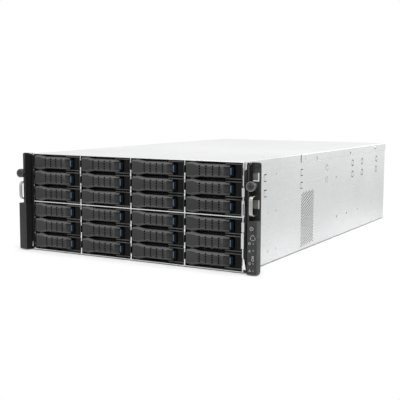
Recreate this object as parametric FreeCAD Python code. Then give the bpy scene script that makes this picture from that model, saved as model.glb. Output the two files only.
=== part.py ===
import FreeCAD, Part
import math
import os

from FreeCAD import Vector

# Rackmount server chassis, four rack units high, with hot-plug trays for 3.5 inch drives.
# All sizes are millimetres. +X is right as seen from the front, +Y is back, +Z is up.
# The origin lies on the centreline, on the underside, in the plane where the ears bear on the rack.

# Rack standard
rack_unit_height = 44.45
unit_count = 4
rack_clearance = 1.8

# Chassis body
body_depth = 750.0
front_reach = 6.0
sheet = 1.2
cover_sheet = 1.0
cover_gap = 0.2
wall_flange = 10.0
front_panel_length = 234.0

# Bays
column_count = 4
lower_row_count = 3
upper_row_count = 3
row_pitch = 28.2
bay_floor = 2.8
divider = 1.2
cage_plate = 0.8
shelf_sheet = 1.5
shelf_gap = 0.5
ledge_width = 1.6
ledge_sheet = 0.6
ledge_setback = 22.0
rivet_gap = 0.05
cage_margin = 6.0
divider_notch_depth = 9.0
divider_notch_low = 11.3
divider_notch_high = 20.7
divider_slant_start = 8.0

# Trays
tray_side_gap = 0.5
tray_end_gap = 0.5
tray_length = 176.0
drive_width = 101.6
drive_side_room = 3.4
drive_fit = 0.2
tray_rail = 0.9
tray_rail_height = 22.0
tray_bar = 0.8
tray_bar_width = 14.0
tray_lift = 0.3
bezel_plate = 2.0
bezel_setback = 10.5
bezel_slot_height = 8.0

# Tray lever and latch
lever_proud = 1.0
lever_thickness = 8.0
lever_chamfer = 2.2
lever_waist_start = 16.1
lever_waist_full = 26.7
waist_height = 21.2
lever_end_inset = 22.9
lever_gap = 0.4
lever_slot_start = 26.7
lever_slot_pitch = 12.0
lever_slot_count = 4
lever_slot_width = 2.0
lever_slot_height = 14.4
scoop_length = 8.0
scoop_depth = 5.0
pivot_inset = 4.3
pivot_radius = 1.2
pivot_clearance = 0.06
pivot_corner = 2.6
lug_wall = 0.6
lug_corner = 1.0
knuckle_height = 19.0
latch_width = 7.6
latch_height = 13.6
latch_bevel = 2.0
latch_seat_gap = 0.3
latch_play = 2.8
rim_depth = 1.6
rim_width = 1.6

# Drive backplane
backplane_gap = 0.6
backplane_sheet = 2.4
connector_width = 42.0
connector_height = 6.6
connector_reach = 4.5
connector_lift = 1.0
backplane_slot_gap = 4.0
backplane_slot_width = 150.0
backplane_slot_height = 7.0

# Fans
fan_count = 3
fan_size = 120.0
fan_depth = 38.0
fan_pitch = 132.0
fan_wall_inset = 384.0
fan_bore_radius = 57.0
fan_corner_cut = 4.0
fan_duct_side_count = 16
fan_hub_side_count = 12
fan_hole_side_count = 8
fan_hub_radius = 21.0
fan_hub_setback = 1.0
fan_blade_count = 7
fan_blade_tip_gap = 1.5
fan_blade_thickness = 1.6
fan_blade_height = 22.0
fan_blade_root_angle = 38.0
fan_blade_tip_angle = 58.0
fan_blade_root_depth = 1.5
fan_strut_count = 4
fan_strut_width = 5.0
fan_strut_depth = 4.0
fan_shaft_radius = 2.0
fan_shaft_clearance = 0.05
fan_wall_flange = 12.0
fan_seat_gap = 0.3

# Side vents and holes
vent_start = 238.0
vent_length = 62.0
vent_low = 6.0
vent_high = 107.0
vent_pitch = 15.4
vent_hole = 10.4
rail_hole_inset = 322.0
rail_hole_spacing = 60.0
rail_hole_height = 40.0
rail_hole_radius = 2.1
cover_lip_height = 15.0
cover_notch_insets = (447.0, 257.0)
cover_notch_length = 12.0
cover_notch_width = 4.0
cover_notch_rise = 7.0
cover_screw_inset = 78.0
cover_screw_radius = 2.0
cover_screw_head_radius = 3.6
cover_screw_head_height = 1.6
fit_gap = 0.1

# Rear panel
rear_flange = 8.0
io_window_width = 158.75
io_window_height = 44.45
io_window_low = 7.0
io_window_edge = 4.5
slot_count = 7
slot_pitch = 20.32
slot_width = 15.0
slot_low = 12.0
slot_high = 118.0
slot_cover_width = 18.4
slot_cover_sheet = 1.0
slot_cover_tab = 11.0
slot_from_hole = 20.0
slot_cover_drop = 4.0
slot_cover_rise = 6.0
rear_vent_column_count = 7
rear_vent_row_count = 3
rear_vent_pitch = 19.0
rear_vent_size = 13.0
rear_vent_low = 74.0
rear_vent_inset = 11.4

# Main board supports
board_edge = 127.0
board_rear_gap = 1.5
board_hole_inset = 6.35
board_hole_rear = 10.16
board_columns = (0.0, 157.48, 281.94)
board_rows = (0.0, 154.94, 227.33)
standoff_height = 6.5
standoff_radius = 3.2
standoff_hole_radius = 1.6
standoff_hole_depth = 5.5

# Power supplies
supply_width = 73.5
supply_height = 39.0
supply_length = 185.0
supply_gap = 0.4
supply_cage_sheet = 1.0
supply_wall_gap = 2.0
supply_handle_reach = 24.0
supply_handle_bar = 4.0
inlet_width = 24.0
inlet_height = 17.0
inlet_depth = 15.0
inlet_bevel = 4.0
inlet_pin = 2.0
inlet_pin_height = 4.0
inlet_pin_spacing = 7.0
inlet_inset = 5.0
supply_fan_radius = 14.0
supply_fan_recess = 2.0
supply_fan_inset = 6.0

# Ears
ear_width = 26.3
ear_screw_inset = 8.75
ear_sheet = 2.0
ear_leg = 14.0
ear_corner_radius = 3.5
ear_hole_radius = 3.6
ear_slot_width = 6.8
ear_slot_length = 10.0
ear_slot_height = 155.6
ear_window_low = 103.0
ear_window_high = 117.0
ear_window_width = 11.0
ear_window_inset = 2.5
cover_front = 13.0
cover_inner_inset = 24.8
cover_shoulder_inset = 16.1
cover_wall = 2.0
cover_rim = 2.3
cover_box_top = 84.5
cover_corner_radius = 8.0

# Handles and thumbscrews
handle_height = 33.0
handle_centre = 109.0
handle_reach = 24.0
handle_strip = 2.2
handle_width = 8.0
handle_corner_radius = 6.0
thumbscrew_height = 139.7
knob_radius = 7.8
knob_length = 6.0
knob_rib_count = 14
knob_rib_depth = 0.5
knob_gap = 0.3
collar_radius = 4.6
knob_stand = 0.5
shank_neck_radius = 3.3
shank_radius = 3.0
shank_length = 10.0

# Controls on the right ear, each placed by its distance from the ear's outer edge and its height
power_button_inset = 8.6
power_button_height = 73.1
power_button_radius = 4.0
reset_button_inset = 6.9
reset_button_height = 57.9
reset_button_radius = 2.2
button_clearance = 0.15
button_proud = 0.9
button_stem = 5.0
button_skirt = 1.2
button_seat_gap = 0.3
light_inset = 5.8
light_heights = (49.4, 38.6, 17.8, 6.4)
light_radius = 1.2
light_side_count = 8
light_clearance = 0.1
light_length = 6.0

# Shapes and cutters
hexagon = 6
full_turn = 360.0
overshoot = 1.0
match_tolerance = 1e-6

# Worked out from the values above
body_height = unit_count * rack_unit_height - rack_clearance
front = -front_reach
rear = front + body_depth
bay_width = drive_width + drive_side_room
wall_stack = cage_plate + sheet + cover_gap + cover_sheet
body_width = column_count * bay_width + (column_count - 1) * divider + 2 * wall_stack
wall_outer = body_width / 2 - cover_sheet - cover_gap
wall_inner = wall_outer - sheet
wall_top = body_height - cover_sheet - cover_gap
cage_half = wall_inner - cage_plate
column_pitch = bay_width + divider
row_count = lower_row_count + upper_row_count
shelf_low = bay_floor + lower_row_count * row_pitch + shelf_gap
shelf_high = shelf_low + shelf_sheet
upper_floor = shelf_high + shelf_gap
tray_width = bay_width - 2 * tray_side_gap
tray_height = row_pitch - 2 * tray_end_gap
tray_inner_half = drive_width / 2 + drive_fit
tray_outer_half = tray_inner_half + tray_rail
lever_length = tray_width - lever_end_inset
tray_base = ledge_sheet + tray_lift
lever_front = front - lever_proud
lever_back = lever_front + lever_thickness
pivot_depth = lever_front + lever_thickness / 2
lug_front = pivot_depth - pivot_radius - lug_wall
lug_start = pivot_inset - pivot_radius - lug_wall
bezel_front = front + bezel_setback
bezel_back = bezel_front + bezel_plate
cage_back = front + tray_length + cage_margin
backplane_front = cage_back + backplane_gap
fan_wall_back = rear - fan_wall_inset
fan_wall_front = fan_wall_back - sheet
fan_centre_height = sheet + fan_seat_gap + fan_size / 2
ear_outer = body_width / 2 + ear_width
rack_screw_spacing = 2 * (ear_outer - ear_screw_inset)
ear_window_outer = ear_outer - ear_window_inset
cover_inner = ear_outer - cover_inner_inset
cover_shoulder = ear_outer - cover_shoulder_inset
power_button_place = (ear_outer - power_button_inset, power_button_height)
reset_button_place = (ear_outer - reset_button_inset, reset_button_height)
light_places = [(ear_outer - light_inset, height) for height in light_heights]
ear_front = -ear_sheet
panel_front = ear_front - cover_front
rear_plate_back = rear - cover_sheet - cover_gap
rear_plate_front = rear_plate_back - sheet
board_rear_holes = rear_plate_front - board_rear_gap - board_hole_rear
supply_right = wall_inner - supply_wall_gap - supply_cage_sheet
supply_left = supply_right - supply_width - 2 * supply_gap
supply_front = rear_plate_back - supply_length
rear_vent_row_pitch = rear_vent_pitch * math.sqrt(3) / 2


def block(x0, x1, y0, y1, z0, z1):
    """Box between two corners."""
    return Part.makeBox(x1 - x0, y1 - y0, z1 - z0, Vector(x0, y0, z0))


def prism(points, axis, start, end):
    """Straight prism of a flat outline. The outline's two coordinates skip the prism's axis."""
    places = {
        "x": lambda a, b: Vector(start, a, b),
        "y": lambda a, b: Vector(a, start, b),
        "z": lambda a, b: Vector(a, b, start),
    }
    directions = {"x": Vector(1, 0, 0), "y": Vector(0, 1, 0), "z": Vector(0, 0, 1)}
    corners = [places[axis](a, b) for a, b in points]
    outline = Part.makePolygon(corners + corners[:1])
    return Part.Face(outline).extrude(directions[axis] * (end - start))


def rod_y(x, z, radius, y0, y1):
    """Round bar along the depth."""
    return Part.makeCylinder(radius, y1 - y0, Vector(x, y0, z), Vector(0, 1, 0))


def many_sided(x, z, radius, sides, y0, y1):
    """Regular prism along the depth, whose flats lie at the radius."""
    reach = radius / math.cos(math.pi / sides)
    corners = []
    for index in range(sides):
        turn = 2 * math.pi * (index + 0.5) / sides
        corners.append((x + reach * math.cos(turn), z + reach * math.sin(turn)))
    return prism(corners, "y", y0, y1)


def rod_x(y, z, radius, x0, x1):
    """Round bar across the width."""
    return Part.makeCylinder(radius, x1 - x0, Vector(x0, y, z), Vector(1, 0, 0))


def rod_z(x, y, radius, z0, z1):
    """Round upright bar."""
    return Part.makeCylinder(radius, z1 - z0, Vector(x, y, z0), Vector(0, 0, 1))


def fuse(shapes):
    """One solid from shapes that touch or overlap."""
    whole = shapes[0].fuse(shapes[1:]) if len(shapes) > 1 else shapes[0]
    return whole.removeSplitter()


def mirrored(shape):
    """The same piece on the other side of the centreline."""
    return shape.mirror(Vector(0, 0, 0), Vector(1, 0, 0))


def save(name, shape):
    """Write one named piece, or one named set of like pieces."""
    shape.exportStep(f"parts/{name}.step")


def row_floor(row):
    """Lower edge of a row of bays, counted from the bottom."""
    if row < lower_row_count:
        return bay_floor + row * row_pitch
    return upper_floor + (row - lower_row_count) * row_pitch


def bay_left(column):
    """Left edge of a column of bays."""
    return -cage_half + column * column_pitch


def staggered(start, end, low, high, pitch):
    """Centres of a staggered hole pattern that fills a rectangle."""
    row_step = pitch * math.sqrt(3) / 2
    centres = []
    rows = int((high - low) / row_step)
    for row in range(rows):
        shift = pitch / 2 if row % 2 else 0.0
        count = int((end - start - shift) / pitch)
        for column in range(count):
            along = start + pitch / 2 + shift + column * pitch
            centres.append((along, low + row_step * (row + 0.5)))
    return centres


def side_vent(x0, x1):
    """Diamond holes of the side vent, as cutters."""
    half = vent_hole / 2
    cutters = []
    start = front + vent_start
    for y, z in staggered(start, start + vent_length, vent_low, vent_high, vent_pitch):
        outline = [(y - half, z), (y, z - half), (y + half, z), (y, z + half)]
        cutters.append(prism(outline, "x", x0, x1))
    return cutters


def make_chassis_base():
    """Folded tub: floor, two side walls with in-turned flanges, vents and rail holes."""
    outline = [
        (-wall_outer, 0),
        (wall_outer, 0),
        (wall_outer, wall_top),
        (wall_inner, wall_top),
        (wall_inner, sheet),
        (-wall_inner, sheet),
        (-wall_inner, wall_top),
        (-wall_outer, wall_top),
    ]
    tub = prism(outline, "y", front, rear_plate_front)
    flange_start = backplane_front + backplane_sheet + backplane_gap
    flange = block(
        wall_inner - wall_flange,
        wall_inner,
        flange_start,
        rear_plate_front,
        wall_top - sheet,
        wall_top,
    )
    tub = fuse([tub, flange, mirrored(flange)])
    cutters = side_vent(wall_inner - sheet, wall_outer + sheet)
    cutters += [mirrored(cutter) for cutter in cutters]
    for step in range(2):
        y = rear - rail_hole_inset + step * rail_hole_spacing
        hole = rod_x(y, rail_hole_height, rail_hole_radius, wall_inner - sheet, wall_outer + sheet)
        cutters += [hole, mirrored(hole)]
    return tub.cut(Part.makeCompound(cutters))


def make_front_top_panel():
    """Fixed sheet over the drive bays, lying on the side walls."""
    return block(-wall_outer, wall_outer, front, front + front_panel_length, wall_top, body_height)


def cover_notch(inset):
    """Inverted L cut in the cover's lip, placed from the chassis' rear end."""
    y = rear - inset
    low = body_height - cover_lip_height
    return [
        (y, low - sheet),
        (y + cover_notch_width, low - sheet),
        (y + cover_notch_width, low + cover_notch_rise - cover_notch_width),
        (y + cover_notch_length, low + cover_notch_rise - cover_notch_width),
        (y + cover_notch_length, low + cover_notch_rise),
        (y, low + cover_notch_rise),
    ]


def make_top_cover():
    """Sheet cover with side lips and a rear lip. It slides back off the chassis."""
    start = front + front_panel_length + cover_gap
    half = body_width / 2
    inner = half - cover_sheet
    under = body_height - cover_sheet
    lip = body_height - cover_lip_height
    outline = [
        (-half, lip),
        (-inner, lip),
        (-inner, under),
        (inner, under),
        (inner, lip),
        (half, lip),
        (half, body_height),
        (-half, body_height),
    ]
    shell = prism(outline, "y", start, rear)
    back = block(-half, half, rear - cover_sheet, rear, body_height - rear_flange, body_height)
    shell = fuse([shell, back])
    cutters = [prism(cover_notch(inset), "x", -half - sheet, half + sheet) for inset in cover_notch_insets]
    screw_y = rear - cover_screw_inset
    screw_z = body_height - cover_lip_height / 2
    hole_radius = cover_screw_radius + fit_gap
    cutters.append(rod_x(screw_y, screw_z, hole_radius, -half - sheet, half + sheet))
    return shell.cut(Part.makeCompound(cutters))


def make_cover_screws():
    """Two screws that close the cover's lips."""
    y = rear - cover_screw_inset
    z = body_height - cover_lip_height / 2
    half = body_width / 2
    head = rod_x(y, z, cover_screw_head_radius, half + fit_gap, half + cover_screw_head_height)
    shank = rod_x(y, z, cover_screw_radius, half - cover_sheet, half + fit_gap)
    screw = fuse([head, shank])
    return Part.makeCompound([screw, mirrored(screw)])


def divider_outline(low, high, first_row, rows):
    """Side view of a divider, with the slanted and notched front edge that repeats in each row."""
    points = [(cage_back, low), (front, low)]
    for index in range(rows):
        base = row_floor(first_row + index)
        points += [
            (front, base + divider_slant_start),
            (front + divider_notch_depth, base + divider_notch_low),
            (front + divider_notch_depth, base + divider_notch_high),
            (front, base + divider_notch_high),
        ]
    points += [(front, high), (cage_back, high)]
    return points


def make_divider(x0, x1, low, high, first_row, rows, left_ledges, right_ledges):
    """Upright bay divider, and a riveted strip under each tray beside it."""
    pieces = [prism(divider_outline(low, high, first_row, rows), "x", x0, x1)]
    for index in range(rows):
        base = row_floor(first_row + index)
        if left_ledges:
            pieces.append(ledge(x0 - ledge_width, x0 - rivet_gap, base))
        if right_ledges:
            pieces.append(ledge(x1 + rivet_gap, x1 + ledge_width, base))
    return pieces


def ledge(x0, x1, base):
    """Strip that carries one side of a tray."""
    return block(x0, x1, front + ledge_setback, cage_back, base, base + ledge_sheet)


def make_bay_dividers():
    """Dividers and outer plates of the cage, below and above the shelf."""
    levels = [
        (sheet, shelf_low, 0, lower_row_count),
        (shelf_high, wall_top, lower_row_count, upper_row_count),
    ]
    solids = []
    for low, high, first_row, rows in levels:
        solids += make_divider(-wall_inner, -cage_half, low, high, first_row, rows, False, True)
        for column in range(1, column_count):
            x1 = bay_left(column)
            solids += make_divider(x1 - divider, x1, low, high, first_row, rows, True, True)
        solids += make_divider(cage_half, wall_inner, low, high, first_row, rows, True, False)
    return Part.makeCompound(solids)


def make_bay_mid_shelf():
    """Sheet between the lower and the upper rows."""
    return block(-wall_inner, wall_inner, front, cage_back, shelf_low, shelf_high)


def make_drive_backplane():
    """Circuit board behind the bays, with a connector for each tray and air slots above them."""
    back = backplane_front + backplane_sheet
    top = row_floor(row_count - 1) + row_pitch
    board = block(-cage_half, cage_half, backplane_front, back, bay_floor, top)
    through = (backplane_front - overshoot, back + overshoot)
    plugs = []
    slots = []
    for row in range(row_count):
        plug_low = row_floor(row) + tray_base + tray_bar + connector_lift
        plug_high = plug_low + connector_height
        for column in range(column_count):
            left = bay_left(column) + (bay_width - connector_width) / 2
            right = left + connector_width
            plugs.append(
                block(left, right, backplane_front - connector_reach, backplane_front, plug_low, plug_high)
            )
        slot_start = plug_high + backplane_slot_gap
        slot_end = slot_start + backplane_slot_height
        for side in (-1, 1):
            middle = side * cage_half / 2
            half = backplane_slot_width / 2
            slots.append(block(middle - half, middle + half, *through, slot_start, slot_end))
    return fuse([board.cut(Part.makeCompound(slots))] + plugs)


def lever_outline():
    """Front view of the lever, from its full-height end to its narrow waist."""
    low = tray_end_gap
    high = tray_end_gap + tray_height
    middle = (low + high) / 2
    waist_low = middle - waist_height / 2
    waist_high = middle + waist_height / 2
    return [
        (0, low),
        (lever_waist_start, low),
        (lever_waist_full, waist_low),
        (lever_length, waist_low),
        (lever_length, waist_high),
        (lever_waist_full, waist_high),
        (lever_waist_start, high),
        (0, high),
    ]


def lever_plan(back):
    """Plan of the lever, with its pivot end cut round to swing clear of the divider."""
    return [
        (0, lever_front + pivot_corner),
        (pivot_corner, lever_front),
        (lever_length, lever_front),
        (lever_length, back),
        (pivot_corner, back),
        (0, back - pivot_corner),
    ]


def bevel_front(shape, top):
    """Bevel the upper and lower front edges of a lever."""
    edges = []
    for edge in shape.Edges:
        box = edge.BoundBox
        flat = max(abs(box.YMax - lever_front), abs(box.YMin - lever_front)) < match_tolerance
        if flat and box.XLength > top / 2:
            edges.append(edge)
    return shape.makeChamfer(top, edges)


def make_lever(pinned):
    """Tray lever: bevelled, waisted, slotted, with a finger scoop beside the latch.

    A lever with a pin swings. One without a pin reaches back to the bezel plate that carries it.
    """
    back = lever_back if pinned else bezel_front
    depth = prism(lever_outline(), "y", lever_front, back)
    plan = prism(lever_plan(back), "z", 0, row_pitch)
    lever = bevel_front(depth.common(plan), lever_chamfer)
    middle = row_pitch / 2
    cutters = []
    slot_end = lever_back + overshoot if pinned else lever_back
    for index in range(lever_slot_count):
        x0 = lever_slot_start + index * lever_slot_pitch - lever_slot_width / 2
        z0 = middle - lever_slot_height / 2
        x1 = x0 + lever_slot_width
        cutters.append(block(x0, x1, lever_front - overshoot, slot_end, z0, z0 + lever_slot_height))
    scoop = [
        (lever_length - scoop_length, lever_front),
        (lever_length - scoop_length, lever_front - overshoot),
        (lever_length + overshoot, lever_front - overshoot),
        (lever_length + overshoot, lever_front + scoop_depth),
        (lever_length, lever_front + scoop_depth),
    ]
    cutters.append(
        prism(scoop, "z", middle - latch_height / 2, middle + latch_height / 2)
    )
    if not pinned:
        return lever.cut(Part.makeCompound(cutters))
    lug_low = middle - knuckle_height / 2
    lug_high = middle + knuckle_height / 2
    lug_end = 2 * pivot_inset + lever_gap
    lug_room = lug_front - lever_gap
    room_back = lever_back + overshoot
    cutters.append(block(-overshoot, lug_end, lug_room, room_back, -overshoot, lug_low))
    cutters.append(block(-overshoot, lug_end, lug_room, room_back, lug_high, row_pitch + overshoot))
    pin = rod_z(pivot_inset, pivot_depth, pivot_radius, 2 * tray_end_gap, row_pitch - 2 * tray_end_gap)
    return fuse([lever.cut(Part.makeCompound(cutters)), pin])


def make_latch():
    """Latch bar beside the lever, with a bevelled front. Its back runs along the bezel plate."""
    middle = row_pitch / 2
    left = lever_length + lever_gap
    right = left + latch_width
    front_face = lever_front
    outline = [
        (left, front_face + latch_bevel),
        (left + latch_bevel, front_face),
        (right - latch_bevel, front_face),
        (right, front_face + latch_bevel),
        (right, bezel_front - latch_seat_gap),
        (left, bezel_front - latch_seat_gap),
    ]
    return prism(outline, "z", middle - latch_height / 2, middle + latch_height / 2)


def light_window():
    """Corners of the recess for the light pipe, in front view."""
    left = lever_length + lever_gap + latch_width + latch_play
    low = tray_end_gap + rim_width
    return left + rim_width, tray_width - rim_width, low, row_pitch - low


def make_runner():
    """Two side rails behind the bezel and the two cross bars that hold them together."""
    half = tray_width / 2
    start = bezel_back + rivet_gap
    end = front + tray_length
    low = tray_base
    high = low + tray_rail_height
    left = half - tray_inner_half
    right = half + tray_inner_half
    pieces = [
        block(half - tray_outer_half, left, start, end, low, high),
        block(right, half + tray_outer_half, start, end, low, high),
    ]
    for y in (start, end - tray_bar_width):
        pieces.append(
            block(left + rivet_gap, right - rivet_gap, y, y + tray_bar_width, low, low + tray_bar)
        )
    return pieces


def make_bezel():
    """Plate across the front of the tray, with the rim and its recess at the right end."""
    low = tray_end_gap
    high = tray_end_gap + tray_height
    plate = block(0, tray_width, bezel_front, bezel_back, low, high)
    rim_left = lever_length + lever_gap + latch_width + latch_play
    rim = block(rim_left, tray_width, front, bezel_front, low, high)
    x0, x1, z0, z1 = light_window()
    return fuse([plate, rim.cut(block(x0, x1, front - overshoot, front + rim_depth, z0, z1))])


def make_lugs():
    """Upper and lower lugs at the left end of the bezel, bored for the lever's pin."""
    low = tray_end_gap
    high = tray_end_gap + tray_height
    middle = row_pitch / 2
    lug_low = middle - knuckle_height / 2 - lever_gap / 2
    lug_high = middle + knuckle_height / 2 + lever_gap / 2
    lug_end = 2 * pivot_inset
    plan = [
        (lug_start, lug_front + lug_corner),
        (lug_start + lug_corner, lug_front),
        (lug_end, lug_front),
        (lug_end, bezel_front),
        (lug_start, bezel_front),
    ]
    bore = rod_z(pivot_inset, pivot_depth, pivot_radius + pivot_clearance, 0, row_pitch)
    return [prism(plan, "z", low, lug_low).cut(bore), prism(plan, "z", lug_high, high).cut(bore)]


def bezel_vent():
    """Air slot through the bezel plate behind the lever."""
    middle = row_pitch / 2
    half = bezel_slot_height / 2
    end = lever_length - scoop_length
    through = (bezel_front - overshoot, bezel_back + overshoot)
    return block(lever_waist_full, end, *through, middle - half, middle + half)


def place_in_bay(shape, column, row):
    """Move a tray piece from its own corner to its bay."""
    moved = shape.copy()
    moved.translate(Vector(bay_left(column) + tray_side_gap, 0, row_floor(row)))
    return moved


def save_trays():
    """Every tray. Those of the top row have their lever and latch as pieces of their own."""
    bezel = make_bezel()
    runner = make_runner()
    joined = Part.makeCompound([fuse([bezel, make_lever(False)]), make_latch()] + runner)
    body = Part.makeCompound([fuse([bezel.cut(bezel_vent())] + make_lugs())] + runner)
    lever = make_lever(True)
    latch = make_latch()
    for row in range(row_count):
        shelf_row = row_count - row
        for column in range(column_count):
            place = f"row{shelf_row}_column{column + 1}"
            if shelf_row == 1:
                save(f"drive_tray_{place}", place_in_bay(body, column, row))
                save(f"tray_lever_{place}", place_in_bay(lever, column, row))
                save(f"tray_latch_{place}", place_in_bay(latch, column, row))
            else:
                save(f"drive_tray_{place}", place_in_bay(joined, column, row))


def fan_centre(index):
    """Middle of one fan across the chassis."""
    return (index - (fan_count - 1) / 2) * fan_pitch


def make_fan_wall():
    """Upright sheet across the chassis with a hole for each fan and folded side flanges."""
    low = sheet
    high = wall_top - sheet - cover_gap
    plate = block(-wall_inner, wall_inner, fan_wall_front, fan_wall_back, low, high)
    flange = block(
        wall_inner - sheet,
        wall_inner,
        fan_wall_back,
        fan_wall_back + fan_wall_flange,
        low,
        high,
    )
    foot = block(
        -wall_inner,
        wall_inner,
        fan_wall_back,
        fan_wall_back + fan_wall_flange,
        low,
        low + sheet,
    )
    wall = fuse([plate, flange, mirrored(flange), foot])
    for index in range(fan_count):
        hole = many_sided(
            fan_centre(index),
            fan_centre_height,
            fan_bore_radius,
            fan_hole_side_count,
            fan_wall_front - overshoot,
            fan_wall_back + overshoot,
        )
        wall = wall.cut(hole)
    return wall


def make_fan_frame(x):
    """Square frame with a round duct, four struts and a hub that carries the rotor's shaft."""
    back = fan_wall_front - fit_gap
    start = back - fan_depth
    half = fan_size / 2
    frame = block(
        x - half,
        x + half,
        start,
        back,
        fan_centre_height - half,
        fan_centre_height + half,
    )
    corners = [edge for edge in frame.Edges if edge.BoundBox.YLength > fan_depth / 2]
    frame = frame.makeChamfer(fan_corner_cut, corners)
    through = (start - overshoot, back + overshoot)
    frame = frame.cut(many_sided(x, fan_centre_height, fan_bore_radius, fan_duct_side_count, *through))
    strut_front = back - fan_strut_depth
    hub = many_sided(x, fan_centre_height, fan_hub_radius, fan_hub_side_count, strut_front, back)
    pieces = [frame, hub]
    for index in range(fan_strut_count):
        strut = block(
            fan_hub_radius / 2,
            fan_bore_radius + overshoot,
            strut_front,
            back,
            -fan_strut_width / 2,
            fan_strut_width / 2,
        )
        turn = full_turn / fan_strut_count * (index + 0.5)
        strut.rotate(Vector(0, 0, 0), Vector(0, 1, 0), turn)
        strut.translate(Vector(x, 0, fan_centre_height))
        pieces.append(strut)
    whole = fuse(pieces)
    bore = rod_y(
        x,
        fan_centre_height,
        fan_shaft_radius + fan_shaft_clearance,
        strut_front - overshoot,
        back + overshoot,
    )
    return whole.cut(bore)


def blade_section(radius, angle, middle):
    """Corners of a thin slanted rectangle across the fan's axis at a given radius."""
    lean = math.radians(angle)
    along = Vector(0, math.cos(lean), math.sin(lean)) * (fan_blade_height / 2)
    across = Vector(0, -math.sin(lean), math.cos(lean)) * (fan_blade_thickness / 2)
    centre = Vector(radius, middle, 0)
    lower = [centre - along - across, centre + along - across]
    return lower + [centre + along + across, centre - along + across]


def make_blade(middle):
    """Twisted blade between its root and its tip section, with flat facets."""
    root = blade_section(fan_hub_radius - fan_blade_root_depth, fan_blade_root_angle, middle)
    tip = blade_section(fan_bore_radius - fan_blade_tip_gap, fan_blade_tip_angle, middle)
    faces = [Part.Face(Part.makePolygon(section + section[:1])) for section in (root, tip)]
    for index in range(4):
        after = (index + 1) % 4
        for corners in ([root[index], root[after], tip[index]], [root[after], tip[after], tip[index]]):
            faces.append(Part.Face(Part.makePolygon(corners + corners[:1])))
    return Part.Solid(Part.Shell(faces))


def make_fan_rotor(x):
    """Hub cup with twisted blades and a shaft that runs in the frame's hub."""
    back = fan_wall_front - fit_gap
    start = back - fan_depth
    strut_front = back - fan_strut_depth
    hub_back = strut_front - fan_seat_gap
    middle = (start + hub_back) / 2
    hub = many_sided(0, 0, fan_hub_radius, fan_hub_side_count, start + fan_hub_setback, hub_back)
    blade = make_blade(middle)
    pieces = [hub]
    for index in range(fan_blade_count):
        turned = blade.copy()
        turned.rotate(Vector(0, 0, 0), Vector(0, 1, 0), full_turn / fan_blade_count * index)
        pieces.append(turned)
    pieces.append(rod_y(0, 0, fan_shaft_radius, hub_back, back))
    rotor = fuse(pieces)
    rotor.translate(Vector(x, 0, fan_centre_height))
    return rotor


def slot_centre(index):
    """Middle of one expansion slot across the rear panel."""
    first = board_edge - board_hole_inset - board_columns[1] - slot_from_hole
    return first - index * slot_pitch


def make_rear_panel():
    """Rear sheet with the board window, slots, vents and the power supply bay."""
    half = wall_outer
    panel = block(-half, half, rear_plate_front, rear_plate_back, 0, wall_top)
    window_right = board_edge - io_window_edge
    reach = (rear_plate_front - overshoot, rear_plate_back + overshoot)
    cutters = [
        block(
            window_right - io_window_width,
            window_right,
            *reach,
            io_window_low,
            io_window_low + io_window_height,
        )
    ]
    for index in range(slot_count):
        x = slot_centre(index)
        cutters.append(block(x - slot_width / 2, x + slot_width / 2, *reach, slot_low, slot_high))
    supply_high = sheet + supply_cage_sheet + 2 * (supply_height + 2 * supply_gap) + supply_cage_sheet
    cutters.append(
        block(supply_left, supply_right, *reach, sheet + supply_cage_sheet, supply_high)
    )
    vent_left = window_right - io_window_width
    for row in range(rear_vent_row_count):
        shift = rear_vent_pitch / 2 if row % 2 else 0.0
        for column in range(rear_vent_column_count):
            x = vent_left + rear_vent_inset + rear_vent_pitch * column + shift
            z = rear_vent_low + rear_vent_row_pitch * (row + 0.5)
            cutters.append(many_sided(x, z, rear_vent_size / 2, hexagon, *reach))
    return panel.cut(Part.makeCompound(cutters))


def make_slot_covers():
    """Blanking strips in the expansion slots, each with a bent tab."""
    covers = []
    back = rear_plate_front - fit_gap
    for index in range(slot_count):
        x = slot_centre(index)
        half = slot_cover_width / 2
        low = slot_low - slot_cover_drop
        high = slot_high + slot_cover_rise
        outline = [
            (back, low),
            (back, high),
            (back - slot_cover_tab, high),
            (back - slot_cover_tab, high - slot_cover_sheet),
            (back - slot_cover_sheet, high - slot_cover_sheet),
            (back - slot_cover_sheet, low),
        ]
        covers.append(prism(outline, "x", x - half, x + half))
    return Part.makeCompound(covers)


def make_board_standoffs():
    """Six-sided posts for the main board, each with a threaded hole."""
    posts = []
    for dx in board_columns:
        for dy in board_rows:
            x = board_edge - board_hole_inset - dx
            y = board_rear_holes - dy
            corners = []
            for corner in range(hexagon):
                turn = 2 * math.pi * corner / hexagon
                corners.append((x + standoff_radius * math.cos(turn), y + standoff_radius * math.sin(turn)))
            top = sheet + standoff_height
            post = prism(corners, "z", sheet, top)
            hole = rod_z(x, y, standoff_hole_radius, top - standoff_hole_depth, top + overshoot)
            posts.append(post.cut(hole))
    return Part.makeCompound(posts)


def supply_base(level):
    """Underside of a power supply module, counted from the bottom."""
    first = sheet + supply_cage_sheet + supply_gap
    return first + level * (supply_height + 2 * supply_gap + supply_cage_sheet)


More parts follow.
